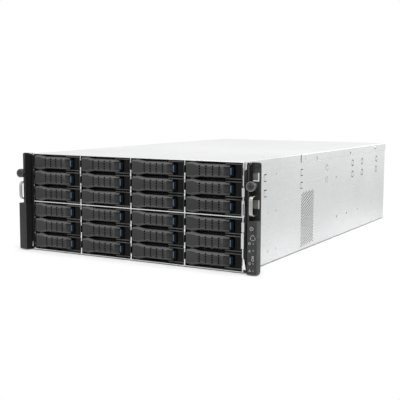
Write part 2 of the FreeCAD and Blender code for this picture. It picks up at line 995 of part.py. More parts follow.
def make_supply_cage():
    """Cage for two modules: floor, shelf and top sheets between two sides and an inner end."""
    outer_left = supply_left - supply_cage_sheet
    outer_right = supply_right + supply_cage_sheet
    high = supply_base(1) + supply_height + supply_gap + supply_cage_sheet
    inner = supply_front - supply_gap
    start = inner - supply_cage_sheet
    sheets = [
        block(outer_left, supply_left, start, rear_plate_front, sheet, high),
        block(supply_right, outer_right, start, rear_plate_front, sheet, high),
        block(supply_left + rivet_gap, supply_right - rivet_gap, start, inner, sheet, high),
    ]
    for level in (0, 1, 2):
        top = supply_base(level) - supply_gap
        sheets.append(
            block(
                supply_left + rivet_gap,
                supply_right - rivet_gap,
                inner + rivet_gap,
                rear_plate_front,
                top - supply_cage_sheet,
                top,
            )
        )
    return Part.makeCompound(sheets)


def inlet_outline(x, z):
    """Front view of an appliance inlet, with its two lower corners cut."""
    half = inlet_width / 2
    tall = inlet_height / 2
    return [
        (x - half, z + tall),
        (x + half, z + tall),
        (x + half, z - tall + inlet_bevel),
        (x + half - inlet_bevel, z - tall),
        (x - half + inlet_bevel, z - tall),
        (x - half, z - tall + inlet_bevel),
    ]


def make_supply_module(level):
    """Plug-in power supply with an inlet, an exhaust ring and a pull handle on its rear face."""
    x0 = supply_left + supply_gap
    x1 = x0 + supply_width
    z0 = supply_base(level)
    z1 = z0 + supply_height
    body = block(x0, x1, supply_front, rear_plate_back, z0, z1)
    middle = (z0 + z1) / 2
    inlet_x = x0 + inlet_width / 2 + inlet_inset
    behind = rear_plate_back + overshoot
    body = body.cut(prism(inlet_outline(inlet_x, middle), "y", rear_plate_back - inlet_depth, behind))
    fan_x = x1 - supply_fan_radius - supply_fan_inset
    ring = rod_y(fan_x, middle, supply_fan_radius, rear_plate_back - supply_fan_recess, behind)
    body = body.cut(ring)
    pieces = [body]
    for step in range(3):
        x = inlet_x + (step - 1) * inlet_pin_spacing
        pieces.append(
            block(
                x - inlet_pin / 2,
                x + inlet_pin / 2,
                rear_plate_back - inlet_depth,
                rear_plate_back - inlet_pin,
                middle - inlet_pin_height / 2,
                middle + inlet_pin_height / 2,
            )
        )
    return fuse(pieces + [supply_handle(fan_x - supply_fan_radius, z0)])


def supply_handle(x, z0):
    """Handle strip that stands out of a module between its inlet and its exhaust."""
    bar = supply_handle_bar
    high = supply_height - 2 * bar
    outline = [
        (rear_plate_back, z0 + bar),
        (rear_plate_back + supply_handle_reach, z0 + bar),
        (rear_plate_back + supply_handle_reach, z0 + bar + high),
        (rear_plate_back, z0 + bar + high),
        (rear_plate_back, z0 + high),
        (rear_plate_back + supply_handle_reach - bar, z0 + high),
        (rear_plate_back + supply_handle_reach - bar, z0 + 2 * bar),
        (rear_plate_back, z0 + 2 * bar),
    ]
    return prism(outline, "x", x - bar, x)


def make_ear_bracket():
    """Right ear: flange on the rack's post, with a leg on the chassis wall."""
    leg_out = wall_outer + sheet
    plate = block(wall_outer, ear_outer, ear_front, 0, 0, body_height)
    corners = []
    for edge in plate.Edges:
        box = edge.BoundBox
        if box.YLength > ear_sheet / 2 and box.XMin > ear_outer - match_tolerance:
            corners.append(edge)
    plate = plate.makeFillet(ear_corner_radius, corners)
    leg = block(wall_outer, leg_out, ear_front, ear_leg, 0, wall_top - cover_gap)
    bracket = fuse([plate, leg])
    screw_x = rack_screw_spacing / 2
    through = (ear_front - overshoot, overshoot)
    slot = block(
        screw_x - ear_slot_length / 2,
        screw_x + ear_slot_length / 2,
        *through,
        ear_slot_height - ear_slot_width / 2,
        ear_slot_height + ear_slot_width / 2,
    )
    window = block(
        ear_window_outer - ear_window_width,
        ear_window_outer,
        *through,
        ear_window_low,
        ear_window_high,
    )
    hole = rod_y(screw_x, thumbscrew_height, ear_hole_radius, *through)
    return bracket.cut(Part.makeCompound([slot, window, hole]))


def ear_box_plan(inset):
    """Plan of the closed lower part of an ear cover."""
    return [
        (cover_inner + inset, ear_front),
        (ear_outer - inset, ear_front),
        (ear_outer - inset, panel_front + inset),
        (cover_shoulder + inset / 2, panel_front + inset),
    ]


def make_ear_cover(with_controls):
    """Right ear moulding: hollow box below, slanted wall beside an open recess above."""
    box_part = prism(ear_box_plan(0), "z", 0, cover_box_top)
    wall_plan = [
        (cover_inner, ear_front),
        (cover_inner + cover_rim, ear_front),
        (cover_shoulder + cover_rim, panel_front + cover_wall),
        (cover_shoulder + cover_rim, panel_front),
        (cover_shoulder, panel_front),
    ]
    wall_part = prism(wall_plan, "z", cover_box_top, body_height)
    moulding = fuse([box_part, wall_part])
    hollow = prism(ear_box_plan(cover_wall), "z", cover_wall, cover_box_top - cover_wall)
    radius = cover_corner_radius
    corner = block(
        cover_inner - overshoot,
        cover_inner + radius,
        panel_front - overshoot,
        ear_front + overshoot,
        body_height - radius,
        body_height + overshoot,
    )
    round_start = panel_front - 2 * overshoot
    round_end = ear_front + 2 * overshoot
    corner = corner.cut(rod_y(cover_inner + radius, body_height - radius, radius, round_start, round_end))
    cutters = [hollow, corner]
    if with_controls:
        through = (panel_front - overshoot, panel_front + cover_wall + overshoot)
        x, z = power_button_place
        cutters.append(rod_y(x, z, power_button_radius + button_clearance, *through))
        x, z = reset_button_place
        cutters.append(rod_y(x, z, reset_button_radius + button_clearance, *through))
        for x, z in light_places:
            cutters.append(many_sided(x, z, light_radius + light_clearance, light_side_count, *through))
    return moulding.cut(Part.makeCompound(cutters))


def make_button(place, radius):
    """Round button with a skirt that keeps it behind the panel."""
    x, z = place
    cap = rod_y(x, z, radius, panel_front - button_proud, panel_front + cover_wall + button_seat_gap)
    skirt_front = panel_front + cover_wall + button_seat_gap
    skirt = rod_y(x, z, radius + button_skirt, skirt_front, skirt_front + button_skirt)
    stem = rod_y(x, z, radius / 2, skirt_front + button_skirt, skirt_front + button_stem)
    return fuse([cap, skirt, stem])


def make_indicator_lights():
    """Light pipes in the right ear's holes."""
    lights = []
    length = (panel_front - fit_gap, panel_front + light_length)
    for x, z in light_places:
        lights.append(many_sided(x, z, light_radius, light_side_count, *length))
    return Part.makeCompound(lights)


def make_pull_handle():
    """Right handle: a strip bent to a U with rounded corners, standing on the flange."""
    x = rack_screw_spacing / 2
    half = handle_height / 2
    outer = block(
        x - handle_width / 2,
        x + handle_width / 2,
        ear_front - handle_reach,
        ear_front,
        handle_centre - half,
        handle_centre + half,
    )
    rounds = []
    for edge in outer.Edges:
        box = edge.BoundBox
        if box.XLength > handle_width / 2 and box.YMax < ear_front - handle_strip:
            rounds.append(edge)
    outer = outer.makeFillet(handle_corner_radius, rounds)
    inner = block(
        x - handle_width,
        x + handle_width,
        ear_front - handle_reach + handle_strip,
        ear_front + overshoot,
        handle_centre - half + handle_strip,
        handle_centre + half - handle_strip,
    )
    inner_rounds = []
    for edge in inner.Edges:
        box = edge.BoundBox
        if box.XLength > handle_width / 2 and box.YMax < ear_front - handle_strip:
            inner_rounds.append(edge)
    inner = inner.makeFillet(handle_corner_radius - handle_strip, inner_rounds)
    return outer.cut(inner)


def make_thumbscrew():
    """Right captive screw: knurled knob, collar, neck in the flange and a free shank behind it."""
    x = rack_screw_spacing / 2
    z = thumbscrew_height
    collar_back = ear_front - knob_gap
    knob_back = panel_front - knob_stand
    corners = []
    for index in range(2 * knob_rib_count):
        turn = math.pi * index / knob_rib_count
        radius = knob_radius if index % 2 else knob_radius - knob_rib_depth
        corners.append((x + radius * math.cos(turn), z + radius * math.sin(turn)))
    knob = prism(corners, "y", knob_back - knob_length, knob_back)
    collar = rod_y(x, z, collar_radius, knob_back, collar_back)
    neck = rod_y(x, z, shank_neck_radius, collar_back, knob_gap)
    shank = rod_y(x, z, shank_radius, knob_gap, knob_gap + shank_length)
    return fuse([knob, collar, neck, shank])


def main():
    """Write every piece of the chassis."""
    os.makedirs("parts", exist_ok=True)
    save("chassis_base", make_chassis_base())
    save("front_top_panel", make_front_top_panel())
    save("top_cover", make_top_cover())
    save("cover_screws", make_cover_screws())
    save("bay_dividers", make_bay_dividers())
    save("bay_mid_shelf", make_bay_mid_shelf())
    save("drive_backplane", make_drive_backplane())
    save_trays()
    save("fan_wall", make_fan_wall())
    centres = [fan_centre(index) for index in range(fan_count)]
    save("fan_frames", Part.makeCompound([make_fan_frame(x) for x in centres]))
    for index, x in enumerate(centres):
        save(f"fan_rotor_{index + 1}", make_fan_rotor(x))
    save("rear_panel", make_rear_panel())
    save("slot_covers", make_slot_covers())
    save("board_standoffs", make_board_standoffs())
    save("power_supply_cage", make_supply_cage())
    save("power_supply_lower", make_supply_module(0))
    save("power_supply_upper", make_supply_module(1))
    bracket = make_ear_bracket()
    save("ear_bracket_right", bracket)
    save("ear_bracket_left", mirrored(bracket))
    save("ear_cover_right", make_ear_cover(True))
    save("ear_cover_left", mirrored(make_ear_cover(False)))
    handle = make_pull_handle()
    save("pull_handles", Part.makeCompound([handle, mirrored(handle)]))
    thumbscrew = make_thumbscrew()
    save("thumbscrew_right", thumbscrew)
    save("thumbscrew_left", mirrored(thumbscrew))
    save("power_button", make_button(power_button_place, power_button_radius))
    save("reset_button", make_button(reset_button_place, reset_button_radius))
    save("indicator_lights", make_indicator_lights())


main()
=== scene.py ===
"""Dressed model of a four-unit rackmount server chassis with 24 drive trays.

Sizes in the classes are millimetres in the frame of the solids: +X right as
seen from the front, +Y back, +Z up, origin on the underside between the ears.
"""
import logging
import math
from dataclasses import dataclass
from enum import Enum
from typing import Callable, Iterable, Sequence

import bpy
from mathutils import Matrix, Vector


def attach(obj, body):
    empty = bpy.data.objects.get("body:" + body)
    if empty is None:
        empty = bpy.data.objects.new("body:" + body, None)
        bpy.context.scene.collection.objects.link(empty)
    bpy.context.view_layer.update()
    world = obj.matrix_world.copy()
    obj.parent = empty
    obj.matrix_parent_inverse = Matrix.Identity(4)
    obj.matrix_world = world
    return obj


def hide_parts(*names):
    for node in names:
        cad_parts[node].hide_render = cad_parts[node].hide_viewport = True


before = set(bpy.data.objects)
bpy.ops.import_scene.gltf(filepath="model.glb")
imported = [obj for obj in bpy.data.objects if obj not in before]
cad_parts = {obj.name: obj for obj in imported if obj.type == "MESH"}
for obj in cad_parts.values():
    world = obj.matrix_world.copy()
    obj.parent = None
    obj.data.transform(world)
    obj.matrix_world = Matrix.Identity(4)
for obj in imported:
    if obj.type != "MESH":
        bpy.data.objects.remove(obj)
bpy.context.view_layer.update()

MM = 0.001
log = logging.getLogger("chassis")

Piece = bpy.types.Object
Socket = bpy.types.NodeSocket
Triple = tuple[float, float, float]
Test = Callable[[Vector], bool]


class Pick(Enum):
    """What the edit mode selects."""

    VERTS = 0
    EDGES = 1
    FACES = 2


class Along(Enum):
    """Direction in which a bar runs."""

    X = (0.0, math.pi / 2, 0.0)
    Y = (math.pi / 2, 0.0, 0.0)
    Z = (0.0, 0.0, 0.0)


class Bench:
    """Workbench: Blender's modelling operators, with sizes given in millimetres."""

    @staticmethod
    def clear() -> None:
        """Deselect every object."""
        if bpy.context.mode != "OBJECT":
            bpy.ops.object.mode_set(mode="OBJECT")
        bpy.ops.object.select_all(action="DESELECT")

    @staticmethod
    def activate(obj: Piece) -> None:
        """Make one object the only selected and the active one.

        Args:
            obj: object to select.
        """
        Bench.clear()
        obj.select_set(True)
        bpy.context.view_layer.objects.active = obj

    @staticmethod
    def settle(name: str) -> Piece:
        """Name the active new object and put its place into its mesh.

        Args:
            name: name of the object.
        Returns:
            The object, at the origin, unturned and unscaled.
        """
        obj = bpy.context.active_object
        obj.name = name
        obj.data.name = name
        bpy.ops.object.transform_apply(location=True, rotation=True, scale=True)
        return obj

    @staticmethod
    def box(name: str, low: Triple, high: Triple) -> Piece:
        """Add a cube primitive between two corners.

        Args:
            name: name of the object.
            low: lowest corner.
            high: highest corner.
        Returns:
            The new object.
        """
        Bench.clear()
        centre = [(a + b) / 2 * MM for a, b in zip(low, high)]
        size = [(b - a) * MM for a, b in zip(low, high)]
        bpy.ops.mesh.primitive_cube_add(size=1.0, location=centre, scale=size)
        return Bench.settle(name)

    @staticmethod
    def rod(name: str, centre: Triple, radius: float, length: float, along: Along, sides: int = 32) -> Piece:
        """Add a cylinder primitive.

        Args:
            name: name of the object.
            centre: middle of the bar.
            radius: radius to the corners.
            length: length of the bar.
            along: direction of its axis.
            sides: number of side faces.
        Returns:
            The new object.
        """
        Bench.clear()
        bpy.ops.mesh.primitive_cylinder_add(
            vertices=sides,
            radius=radius * MM,
            depth=length * MM,
            location=[c * MM for c in centre],
            rotation=along.value,
        )
        return Bench.settle(name)

    @staticmethod
    def cone(
        name: str, centre: Triple, radii: tuple[float, float], length: float, along: Along, sides: int = 32
    ) -> Piece:
        """Add a cone frustum primitive.

        Args:
            name: name of the object.
            centre: middle of the frustum.
            radii: radius at its start and at its end.
            length: length along its axis.
            along: direction of its axis.
            sides: number of side faces.
        Returns:
            The new object.
        """
        Bench.clear()
        bpy.ops.mesh.primitive_cone_add(
            vertices=sides,
            radius1=radii[0] * MM,
            radius2=radii[1] * MM,
            depth=length * MM,
            location=[c * MM for c in centre],
            rotation=along.value,
        )
        return Bench.settle(name)

    @staticmethod
    def disc(name: str, centre: Triple, radius: float, sides: int = 32) -> Piece:
        """Add a filled circle that faces the front.

        Args:
            name: name of the object.
            centre: middle of the disc.
            radius: radius to the corners.
            sides: number of corners.
        Returns:
            The new object.
        """
        Bench.clear()
        bpy.ops.mesh.primitive_circle_add(
            vertices=sides,
            radius=radius * MM,
            fill_type="NGON",
            location=[c * MM for c in centre],
            rotation=(math.pi / 2, 0.0, 0.0),
        )
        return Bench.settle(name)

    @staticmethod
    def edit(obj: Piece, kind: Pick, test: Test, line: int | None = None) -> int:
        """Open an object for editing with the elements whose middle passes a test selected.

        Args:
            obj: object to open.
            kind: whether corners, edges or faces are selected.
            test: takes a corner, or a face's middle, in millimetres.
            line: if set, only edges along this axis count.
        Returns:
            How many elements are selected.
        """
        Bench.activate(obj)
        bpy.context.tool_settings.mesh_select_mode = [kind is each for each in Pick]
        mesh = obj.data
        for group in (mesh.vertices, mesh.edges, mesh.polygons):
            group.foreach_set("select", [False] * len(group))
        count = 0
        if kind is Pick.FACES:
            for face in mesh.polygons:
                face.select = test(face.center / MM)
                count += face.select
        elif kind is Pick.EDGES:
            for edge in mesh.edges:
                ends = [mesh.vertices[i].co / MM for i in edge.vertices]
                span = ends[1] - ends[0]
                straight = line is None or abs(span[line]) > 0.98 * span.length
                edge.select = straight and all(test(end) for end in ends)
                count += edge.select
        else:
            for vert in mesh.vertices:
                vert.select = test(vert.co / MM)
                count += vert.select
        bpy.ops.object.mode_set(mode="EDIT")
        return count

    @staticmethod
    def done() -> None:
        """Leave edit mode."""
        bpy.ops.object.mode_set(mode="OBJECT")

    @staticmethod
    def split(obj: Piece, axis: int, places: Iterable[float]) -> None:
        """Cut edges round an object where planes across one axis meet it.

        Args:
            obj: object to cut.
            axis: 0, 1 or 2 for the planes' normal.
            places: coordinates of the planes.
        """
        normal = [float(i == axis) for i in range(3)]
        for place in places:
            Bench.edit(obj, Pick.FACES, lambda middle: True)
            point = [place * MM if i == axis else 0.0 for i in range(3)]
            bpy.ops.mesh.bisect(plane_co=point, plane_no=normal)
            Bench.done()

    @staticmethod
    def shift(obj: Piece, test: Test, step: Triple) -> None:
        """Move the corners that pass a test.

        Args:
            obj: object to shape.
            test: takes a corner in millimetres.
            step: how far they move.
        """
        if Bench.edit(obj, Pick.VERTS, test):
            bpy.ops.transform.translate(value=[s * MM for s in step])
        Bench.done()

    @staticmethod
    def bevel_edges(obj: Piece, test: Test, width: float, segments: int = 1, line: int | None = None) -> None:
        """Bevel the edges whose two ends pass a test.

        Args:
            obj: object to shape.
            test: takes an end in millimetres.
            width: width of the bevel.
            segments: number of steps of its round.
            line: if set, only edges along this axis are bevelled.
        """
        if Bench.edit(obj, Pick.EDGES, test, line):
            bpy.ops.mesh.bevel(offset=width * MM, segments=segments, affect="EDGES")
        Bench.done()

    @staticmethod
    def soften(obj: Piece, width: float, segments: int = 2, angle: float = 35.0) -> None:
        """Round all sharp edges with an applied bevel modifier and shade by angle.

        Args:
            obj: object to finish.
            width: width of the rounds.
            segments: steps of each round.
            angle: edges sharper than this many degrees are rounded.
        """
        Bench.activate(obj)
        bevel = obj.modifiers.new("rounds", "BEVEL")
        bevel.width = width * MM
        bevel.segments = segments
        bevel.limit_method = "ANGLE"
        bevel.angle_limit = math.radians(angle)
        bevel.harden_normals = False
        bpy.ops.object.modifier_apply(modifier=bevel.name)
        Bench.smooth(obj)

    @staticmethod
    def smooth(obj: Piece, angle: float = 32.0) -> None:
        """Shade an object smooth where its faces meet at a small angle."""
        Bench.activate(obj)
        bpy.ops.object.shade_smooth_by_angle(angle=math.radians(angle))

    @staticmethod
    def combine(obj: Piece, tools: Sequence[Piece], how: str = "DIFFERENCE") -> None:
        """Cut tools out of an object, or weld them to it, with an applied boolean modifier.

        Args:
            obj: object to change.
            tools: objects that are used up.
            how: DIFFERENCE or UNION.
        """
        tool = Bench.join(list(tools))
        Bench.activate(obj)
        change = obj.modifiers.new("cut", "BOOLEAN")
        change.operation = how
        change.solver = "EXACT"
        change.use_self = False
        change.object = tool
        bpy.ops.object.modifier_apply(modifier=change.name)
        mesh = tool.data
        bpy.data.objects.remove(tool)
        bpy.data.meshes.remove(mesh)

    @staticmethod
    def join(objs: Sequence[Piece]) -> Piece:
        """Join objects into the first one.

        Args:
            objs: objects to join.
        Returns:
            The first object.
        """
        Bench.activate(objs[0])
        for obj in objs[1:]:
            obj.select_set(True)
        if len(objs) > 1:
            bpy.ops.object.join()
        return objs[0]

    @staticmethod
    def thicken(obj: Piece, sheet: float) -> None:
        """Give an open skin its wall thickness inwards with an applied solidify modifier.

        Args:
            obj: open skin.
            sheet: wall thickness.
        """
        Bench.activate(obj)
        wall = obj.modifiers.new("wall", "SOLIDIFY")
        wall.thickness = sheet * MM
        wall.offset = -1.0
        wall.use_even_offset = True
        bpy.ops.object.modifier_apply(modifier=wall.name)

    @staticmethod
    def copy(obj: Piece, name: str, step: Triple) -> Piece:
        """Copy an object with a mesh of its own, moved by a step in its mesh.

        Args:
            obj: object to copy.
            name: name of the copy.
            step: how far the copy's mesh moves.
        Returns:
            The copy.
        """
        twin = obj.copy()
        twin.data = obj.data.copy()
        twin.name = name
        twin.data.name = name
        twin.data.transform(Matrix.Translation(Vector(step) * MM))
        bpy.context.collection.objects.link(twin)
        return twin

    @staticmethod
    def mirror(obj: Piece, name: str) -> Piece:
        """Copy an object to the other side of the centreline with its faces turned outwards.

        Args:
            obj: object to mirror.
            name: name of the copy.
        Returns:
            The mirrored copy.
        """
        twin = Bench.copy(obj, name, (0.0, 0.0, 0.0))
        twin.data.transform(Matrix.Scale(-1.0, 4, Vector((1.0, 0.0, 0.0))))
        Bench.edit(twin, Pick.FACES, lambda middle: True)
        bpy.ops.mesh.flip_normals()
        Bench.done()
        return twin

    @staticmethod
    def turn(obj: Piece, angle: float, centre: Triple) -> None:
        """Turn a whole mesh about an axis that runs along the depth.

        Args:
            obj: object to turn.
            angle: turn in radians, as the operator counts it.
            centre: point on the axis.
        """
        Bench.edit(obj, Pick.FACES, lambda m: True)
        bpy.ops.transform.rotate(value=angle, orient_axis="Y", center_override=tuple(v * MM for v in centre))
        Bench.done()

    @staticmethod
    def drop(obj: Piece) -> None:
        """Remove a pattern piece that was only copied from.

        Args:
            obj: pattern piece.
        """
        mesh = obj.data
        bpy.data.objects.remove(obj)
        bpy.data.meshes.remove(mesh)


class Graph:
    """Small helper that lays nodes and links in a node tree."""

    def __init__(self, tree: bpy.types.NodeTree) -> None:
        """Keep the tree."""
        self.tree = tree

    def add(self, kind: str, **values: object) -> bpy.types.Node:
        """Add a node and set its properties or its inputs by name.

        Args:
            kind: Blender's type name of the node.
            **values: properties of the node, or values of its inputs.
        Returns:
            The node.
        """
        node = self.tree.nodes.new(kind)
        for key, value in values.items():
            if hasattr(node, key):
                setattr(node, key, value)
            else:
                node.inputs[key.replace("_", " ")].default_value = value
        return node

    def link(self, source: Socket, target: Socket) -> None:
        """Join two sockets."""
        self.tree.links.new(source, target)

    def wire(self, source: bpy.types.Node, output: str | int, target: bpy.types.Node, into: str | int) -> None:
        """Join two nodes.

        Args:
            source: node that gives the value.
            output: name or number of its output.
            target: node that takes it.
            into: name or number of its input.
        """
        self.link(source.outputs[output], target.inputs[into])

    def ramp(self, source: Socket, low: float, high: float) -> Socket:
        """Stretch a value between two limits to 0 to 1.

        Args:
            source: socket of the value.
            low: value that becomes 0.
            high: value that becomes 1.
        Returns:
            The stretched value's socket.
        """
        node = self.add("ShaderNodeMapRange")
        node.clamp = True
        node.inputs["From Min"].default_value = low
        node.inputs["From Max"].default_value = high
        self.link(source, node.inputs["Value"])
        return node.outputs["Result"]


class Effects:
    """Shared shader effects, each a node group that is built once."""

    @staticmethod
    def start(name: str, inputs: dict[str, float], outputs: Sequence[str]) -> Graph | None:
        """Begin a node group unless it exists.

        Args:
            name: name of the group.
            inputs: its number inputs with their default values.
            outputs: its number outputs.
        Returns:
            The new group's graph, or None if the group exists.
        """
        if name in bpy.data.node_groups:
            return None
        tree = bpy.data.node_groups.new(name, "ShaderNodeTree")
        for key, value in inputs.items():
            socket = tree.interface.new_socket(key, in_out="INPUT", socket_type="NodeSocketFloat")
            socket.default_value = value
        for key in outputs:
            tree.interface.new_socket(key, in_out="OUTPUT", socket_type="NodeSocketFloat")
        return Graph(tree)

    @staticmethod
    def grain() -> bpy.types.NodeTree:
        """Moulded grain: fine bumps and slow cloudy variation.

        Returns:
            The node group.
        """
        graph = Effects.start("moulded_grain", {"Fineness": 900.0, "Cloud": 14.0}, ("Height", "Tone"))
        if graph:
            inlet = graph.add("NodeGroupInput")
            outlet = graph.add("NodeGroupOutput")
            place = graph.add("ShaderNodeTexCoord")
            fine = graph.add("ShaderNodeTexNoise", Detail=3.0, Roughness=0.6)
            cells = graph.add("ShaderNodeTexVoronoi")
            cloud = graph.add("ShaderNodeTexNoise", Detail=4.0, Roughness=0.55)
            blend = graph.add("ShaderNodeMath", operation="ADD")
            for node in (fine, cells, cloud):
                graph.wire(place, "Object", node, "Vector")
            graph.wire(inlet, "Fineness", fine, "Scale")
            graph.wire(inlet, "Fineness", cells, "Scale")
            graph.wire(inlet, "Cloud", cloud, "Scale")
            graph.wire(fine, "Fac", blend, 0)
            graph.wire(cells, "Distance", blend, 1)
            graph.link(graph.ramp(blend.outputs[0], 0.4, 1.4), outlet.inputs["Height"])
            graph.link(graph.ramp(cloud.outputs["Fac"], 0.3, 0.7), outlet.inputs["Tone"])
        return bpy.data.node_groups["moulded_grain"]

    @staticmethod
    def edge_lightening() -> bpy.types.NodeTree:
        """Lighter edges: a mask where the surface turns outwards, broken up by noise.

        Returns:
            The node group.
        """
        graph = Effects.start("lighter_convex_edges", {"Start": 0.53, "Full": 0.62, "Patches": 60.0}, ("Mask",))
        if graph:
            inlet = graph.add("NodeGroupInput")
            outlet = graph.add("NodeGroupOutput")
            place = graph.add("ShaderNodeTexCoord")
            shape = graph.add("ShaderNodeNewGeometry")
            edge = graph.add("ShaderNodeMapRange")
            noise = graph.add("ShaderNodeTexNoise", Detail=5.0, Roughness=0.65)
            times = graph.add("ShaderNodeMath", operation="MULTIPLY")
            graph.wire(place, "Object", noise, "Vector")
            graph.wire(inlet, "Patches", noise, "Scale")
            graph.wire(shape, "Pointiness", edge, "Value")
            graph.wire(inlet, "Start", edge, "From Min")
            graph.wire(inlet, "Full", edge, "From Max")
            graph.wire(edge, "Result", times, 0)
            graph.link(graph.ramp(noise.outputs["Fac"], 0.35, 0.6), times.inputs[1])
            graph.wire(times, 0, outlet, "Mask")
        return bpy.data.node_groups["lighter_convex_edges"]

    @staticmethod
    def rolled() -> bpy.types.NodeTree:
        """Rolled sheet: streaks along the depth, small spangle and slow clouds.

        Returns:
            The node group.
        """
        inputs = {"Streaks": 420.0, "Spangle": 140.0, "Cloud": 5.0}
        graph = Effects.start("rolled_sheet", inputs, ("Height", "Tone"))
        if graph:
            inlet = graph.add("NodeGroupInput")
            outlet = graph.add("NodeGroupOutput")
            place = graph.add("ShaderNodeTexCoord")
            squeeze = graph.add("ShaderNodeMapping", Scale=(1.0, 0.02, 1.0))
            streaks = graph.add("ShaderNodeTexNoise", Detail=4.0, Roughness=0.6)
            spangle = graph.add("ShaderNodeTexVoronoi")
            cloud = graph.add("ShaderNodeTexNoise", Detail=5.0, Roughness=0.5)
            shade = graph.add("ShaderNodeSeparateColor")
            mix = graph.add("ShaderNodeMath", operation="MULTIPLY_ADD")
            mix.inputs[1].default_value = 0.35
            for node in (squeeze, spangle, cloud):
                graph.wire(place, "Object", node, "Vector")
            graph.wire(squeeze, "Vector", streaks, "Vector")
            for key, node in (("Streaks", streaks), ("Spangle", spangle), ("Cloud", cloud)):
                graph.wire(inlet, key, node, "Scale")
            graph.wire(spangle, "Color", shade, "Color")
            graph.wire(shade, "Red", mix, 0)
            graph.link(graph.ramp(cloud.outputs["Fac"], 0.25, 0.75), mix.inputs[2])
            graph.link(graph.ramp(streaks.outputs["Fac"], 0.3, 0.7), outlet.inputs["Height"])
            graph.link(graph.ramp(mix.outputs[0], 0.0, 1.3), outlet.inputs["Tone"])
        return bpy.data.node_groups["rolled_sheet"]


@dataclass(frozen=True)
class Finish:
    """One finish of the chassis: a Principled surface fed by a shared effect."""

    name: str
    dark: Triple
    light: Triple
    roughness: tuple[float, float] = (0.4, 0.55)
    metallic: float = 0.0
    rolled: bool = False
    fineness: float = 900.0
    cloud: float = 14.0
    bump: float = 0.15
    bump_depth: float = 0.0002
    specular: float = 0.5
    coat: float = 0.0
    edge: Triple | None = None

    def material(self) -> bpy.types.Material:
        """Build the material once.

        Returns:
            The material.
        """
        if self.name in bpy.data.materials:
            return bpy.data.materials[self.name]
        made = bpy.data.materials.new(self.name)
        made.use_nodes = True
        made.node_tree.nodes.clear()
        graph = Graph(made.node_tree)
        out = graph.add("ShaderNodeOutputMaterial")
        shader = graph.add(
            "ShaderNodeBsdfPrincipled", Metallic=self.metallic, Specular_IOR_Level=self.specular,
            Coat_Weight=self.coat, Coat_Roughness=0.08,
        )
        graph.wire(shader, 0, out, "Surface")
        effect = graph.add("ShaderNodeGroup", node_tree=Effects.rolled() if self.rolled else Effects.grain())
        if not self.rolled:
            effect.inputs["Fineness"].default_value = self.fineness
            effect.inputs["Cloud"].default_value = self.cloud
        tone = self.blend(graph, effect.outputs["Tone"], self.dark, self.light)
        if self.edge:
            convex_mask = graph.add("ShaderNodeGroup", node_tree=Effects.edge_lightening())
            tone = self.blend(graph, convex_mask.outputs["Mask"], tone, self.edge)
        graph.link(tone, shader.inputs["Base Color"])
        rough = graph.add("ShaderNodeMapRange", To_Min=self.roughness[0], To_Max=self.roughness[1])
        graph.wire(effect, "Height", rough, "Value")
        graph.wire(rough, "Result", shader, "Roughness")
        bump = graph.add("ShaderNodeBump", Strength=self.bump, Distance=self.bump_depth)
        graph.wire(effect, "Height", bump, "Height")
        graph.wire(bump, "Normal", shader, "Normal")
        return made

    @staticmethod
    def blend(graph: Graph, mask: Socket, first: Socket | Triple, second: Triple) -> Socket:
        """Mix two colours by a mask.

        Args:
            graph: graph to add to.
            mask: 0 gives the first colour and 1 the second.
            first: colour or its socket.
            second: colour.
        Returns:
            The mixed colour's socket.
        """
        mix = graph.add("ShaderNodeMix", data_type="RGBA")
        graph.link(mask, mix.inputs["Factor"])
        if isinstance(first, tuple):
            mix.inputs[6].default_value = (*first, 1.0)
        else:
            graph.link(first, mix.inputs[6])
        mix.inputs[7].default_value = (*second, 1.0)
        return mix.outputs[2]

    def put_on(self, *objs: Piece) -> None:
        """Give objects this finish alone.

        Args:
            *objs: objects to dress.
        """
        for obj in objs:
            if not obj.data.materials:
                obj.data.materials.append(self.material())
            for index in range(len(obj.data.materials)):
                obj.data.materials[index] = self.material()

    def tint(self, obj: Piece, test: Test) -> None:
        """Give this finish to some faces of an object that has one already.

        Args:
            obj: object to dress.
            test: takes a face's middle in millimetres.
        """
        obj.data.materials.append(self.material())
        obj.active_material_index = len(obj.data.materials) - 1
        Bench.edit(obj, Pick.FACES, test)
        bpy.ops.object.material_slot_assign()
        Bench.done()


ZINC = Finish("zinc_sheet", (0.66, 0.665, 0.67), (0.76, 0.765, 0.77), (0.26, 0.36), 0.9, True, bump=0.06)
TOP_SHEET = Finish("cover_sheet", (0.64, 0.645, 0.65), (0.73, 0.73, 0.735), (0.30, 0.42), 0.9, True, bump=0.05)
CHROMATE = Finish("bright_zinc_edge", (0.80, 0.81, 0.82), (0.90, 0.90, 0.90), (0.22, 0.32), 1.0, True, bump=0.04)
SCREW = Finish("plated_screw", (0.55, 0.55, 0.56), (0.66, 0.66, 0.67), (0.25, 0.35), 1.0, True, bump=0.05)
POWDER = Finish(
    "black_powder_coat", (0.012, 0.012, 0.013), (0.02, 0.02, 0.021), (0.45, 0.6), fineness=1400.0,
    bump=0.3, specular=0.4, edge=(0.07, 0.07, 0.07),
)
EAR_PLASTIC = Finish(
    "black_ear_moulding", (0.021, 0.021, 0.022), (0.034, 0.034, 0.035), (0.42, 0.56), fineness=1100.0,
    bump=0.3, specular=0.45, edge=(0.08, 0.08, 0.08),
)
TRAY_PLASTIC = Finish(
    "charcoal_tray_plastic", (0.05, 0.05, 0.051), (0.072, 0.072, 0.072), (0.48, 0.64), fineness=800.0,
    bump=0.6, bump_depth=0.0003, specular=0.2, edge=(0.2, 0.2, 0.2),
)
# Lighter copy of the tray plastic for the lever's bevelled bands: painted highlight where the bands catch the
# light.
TRAY_BAND_HIGHLIGHT = Finish(
    "worn_tray_band", (0.12, 0.12, 0.121), (0.16, 0.16, 0.16), (0.42, 0.58), fineness=800.0, bump=0.6,
    bump_depth=0.0003, specular=0.2,
)
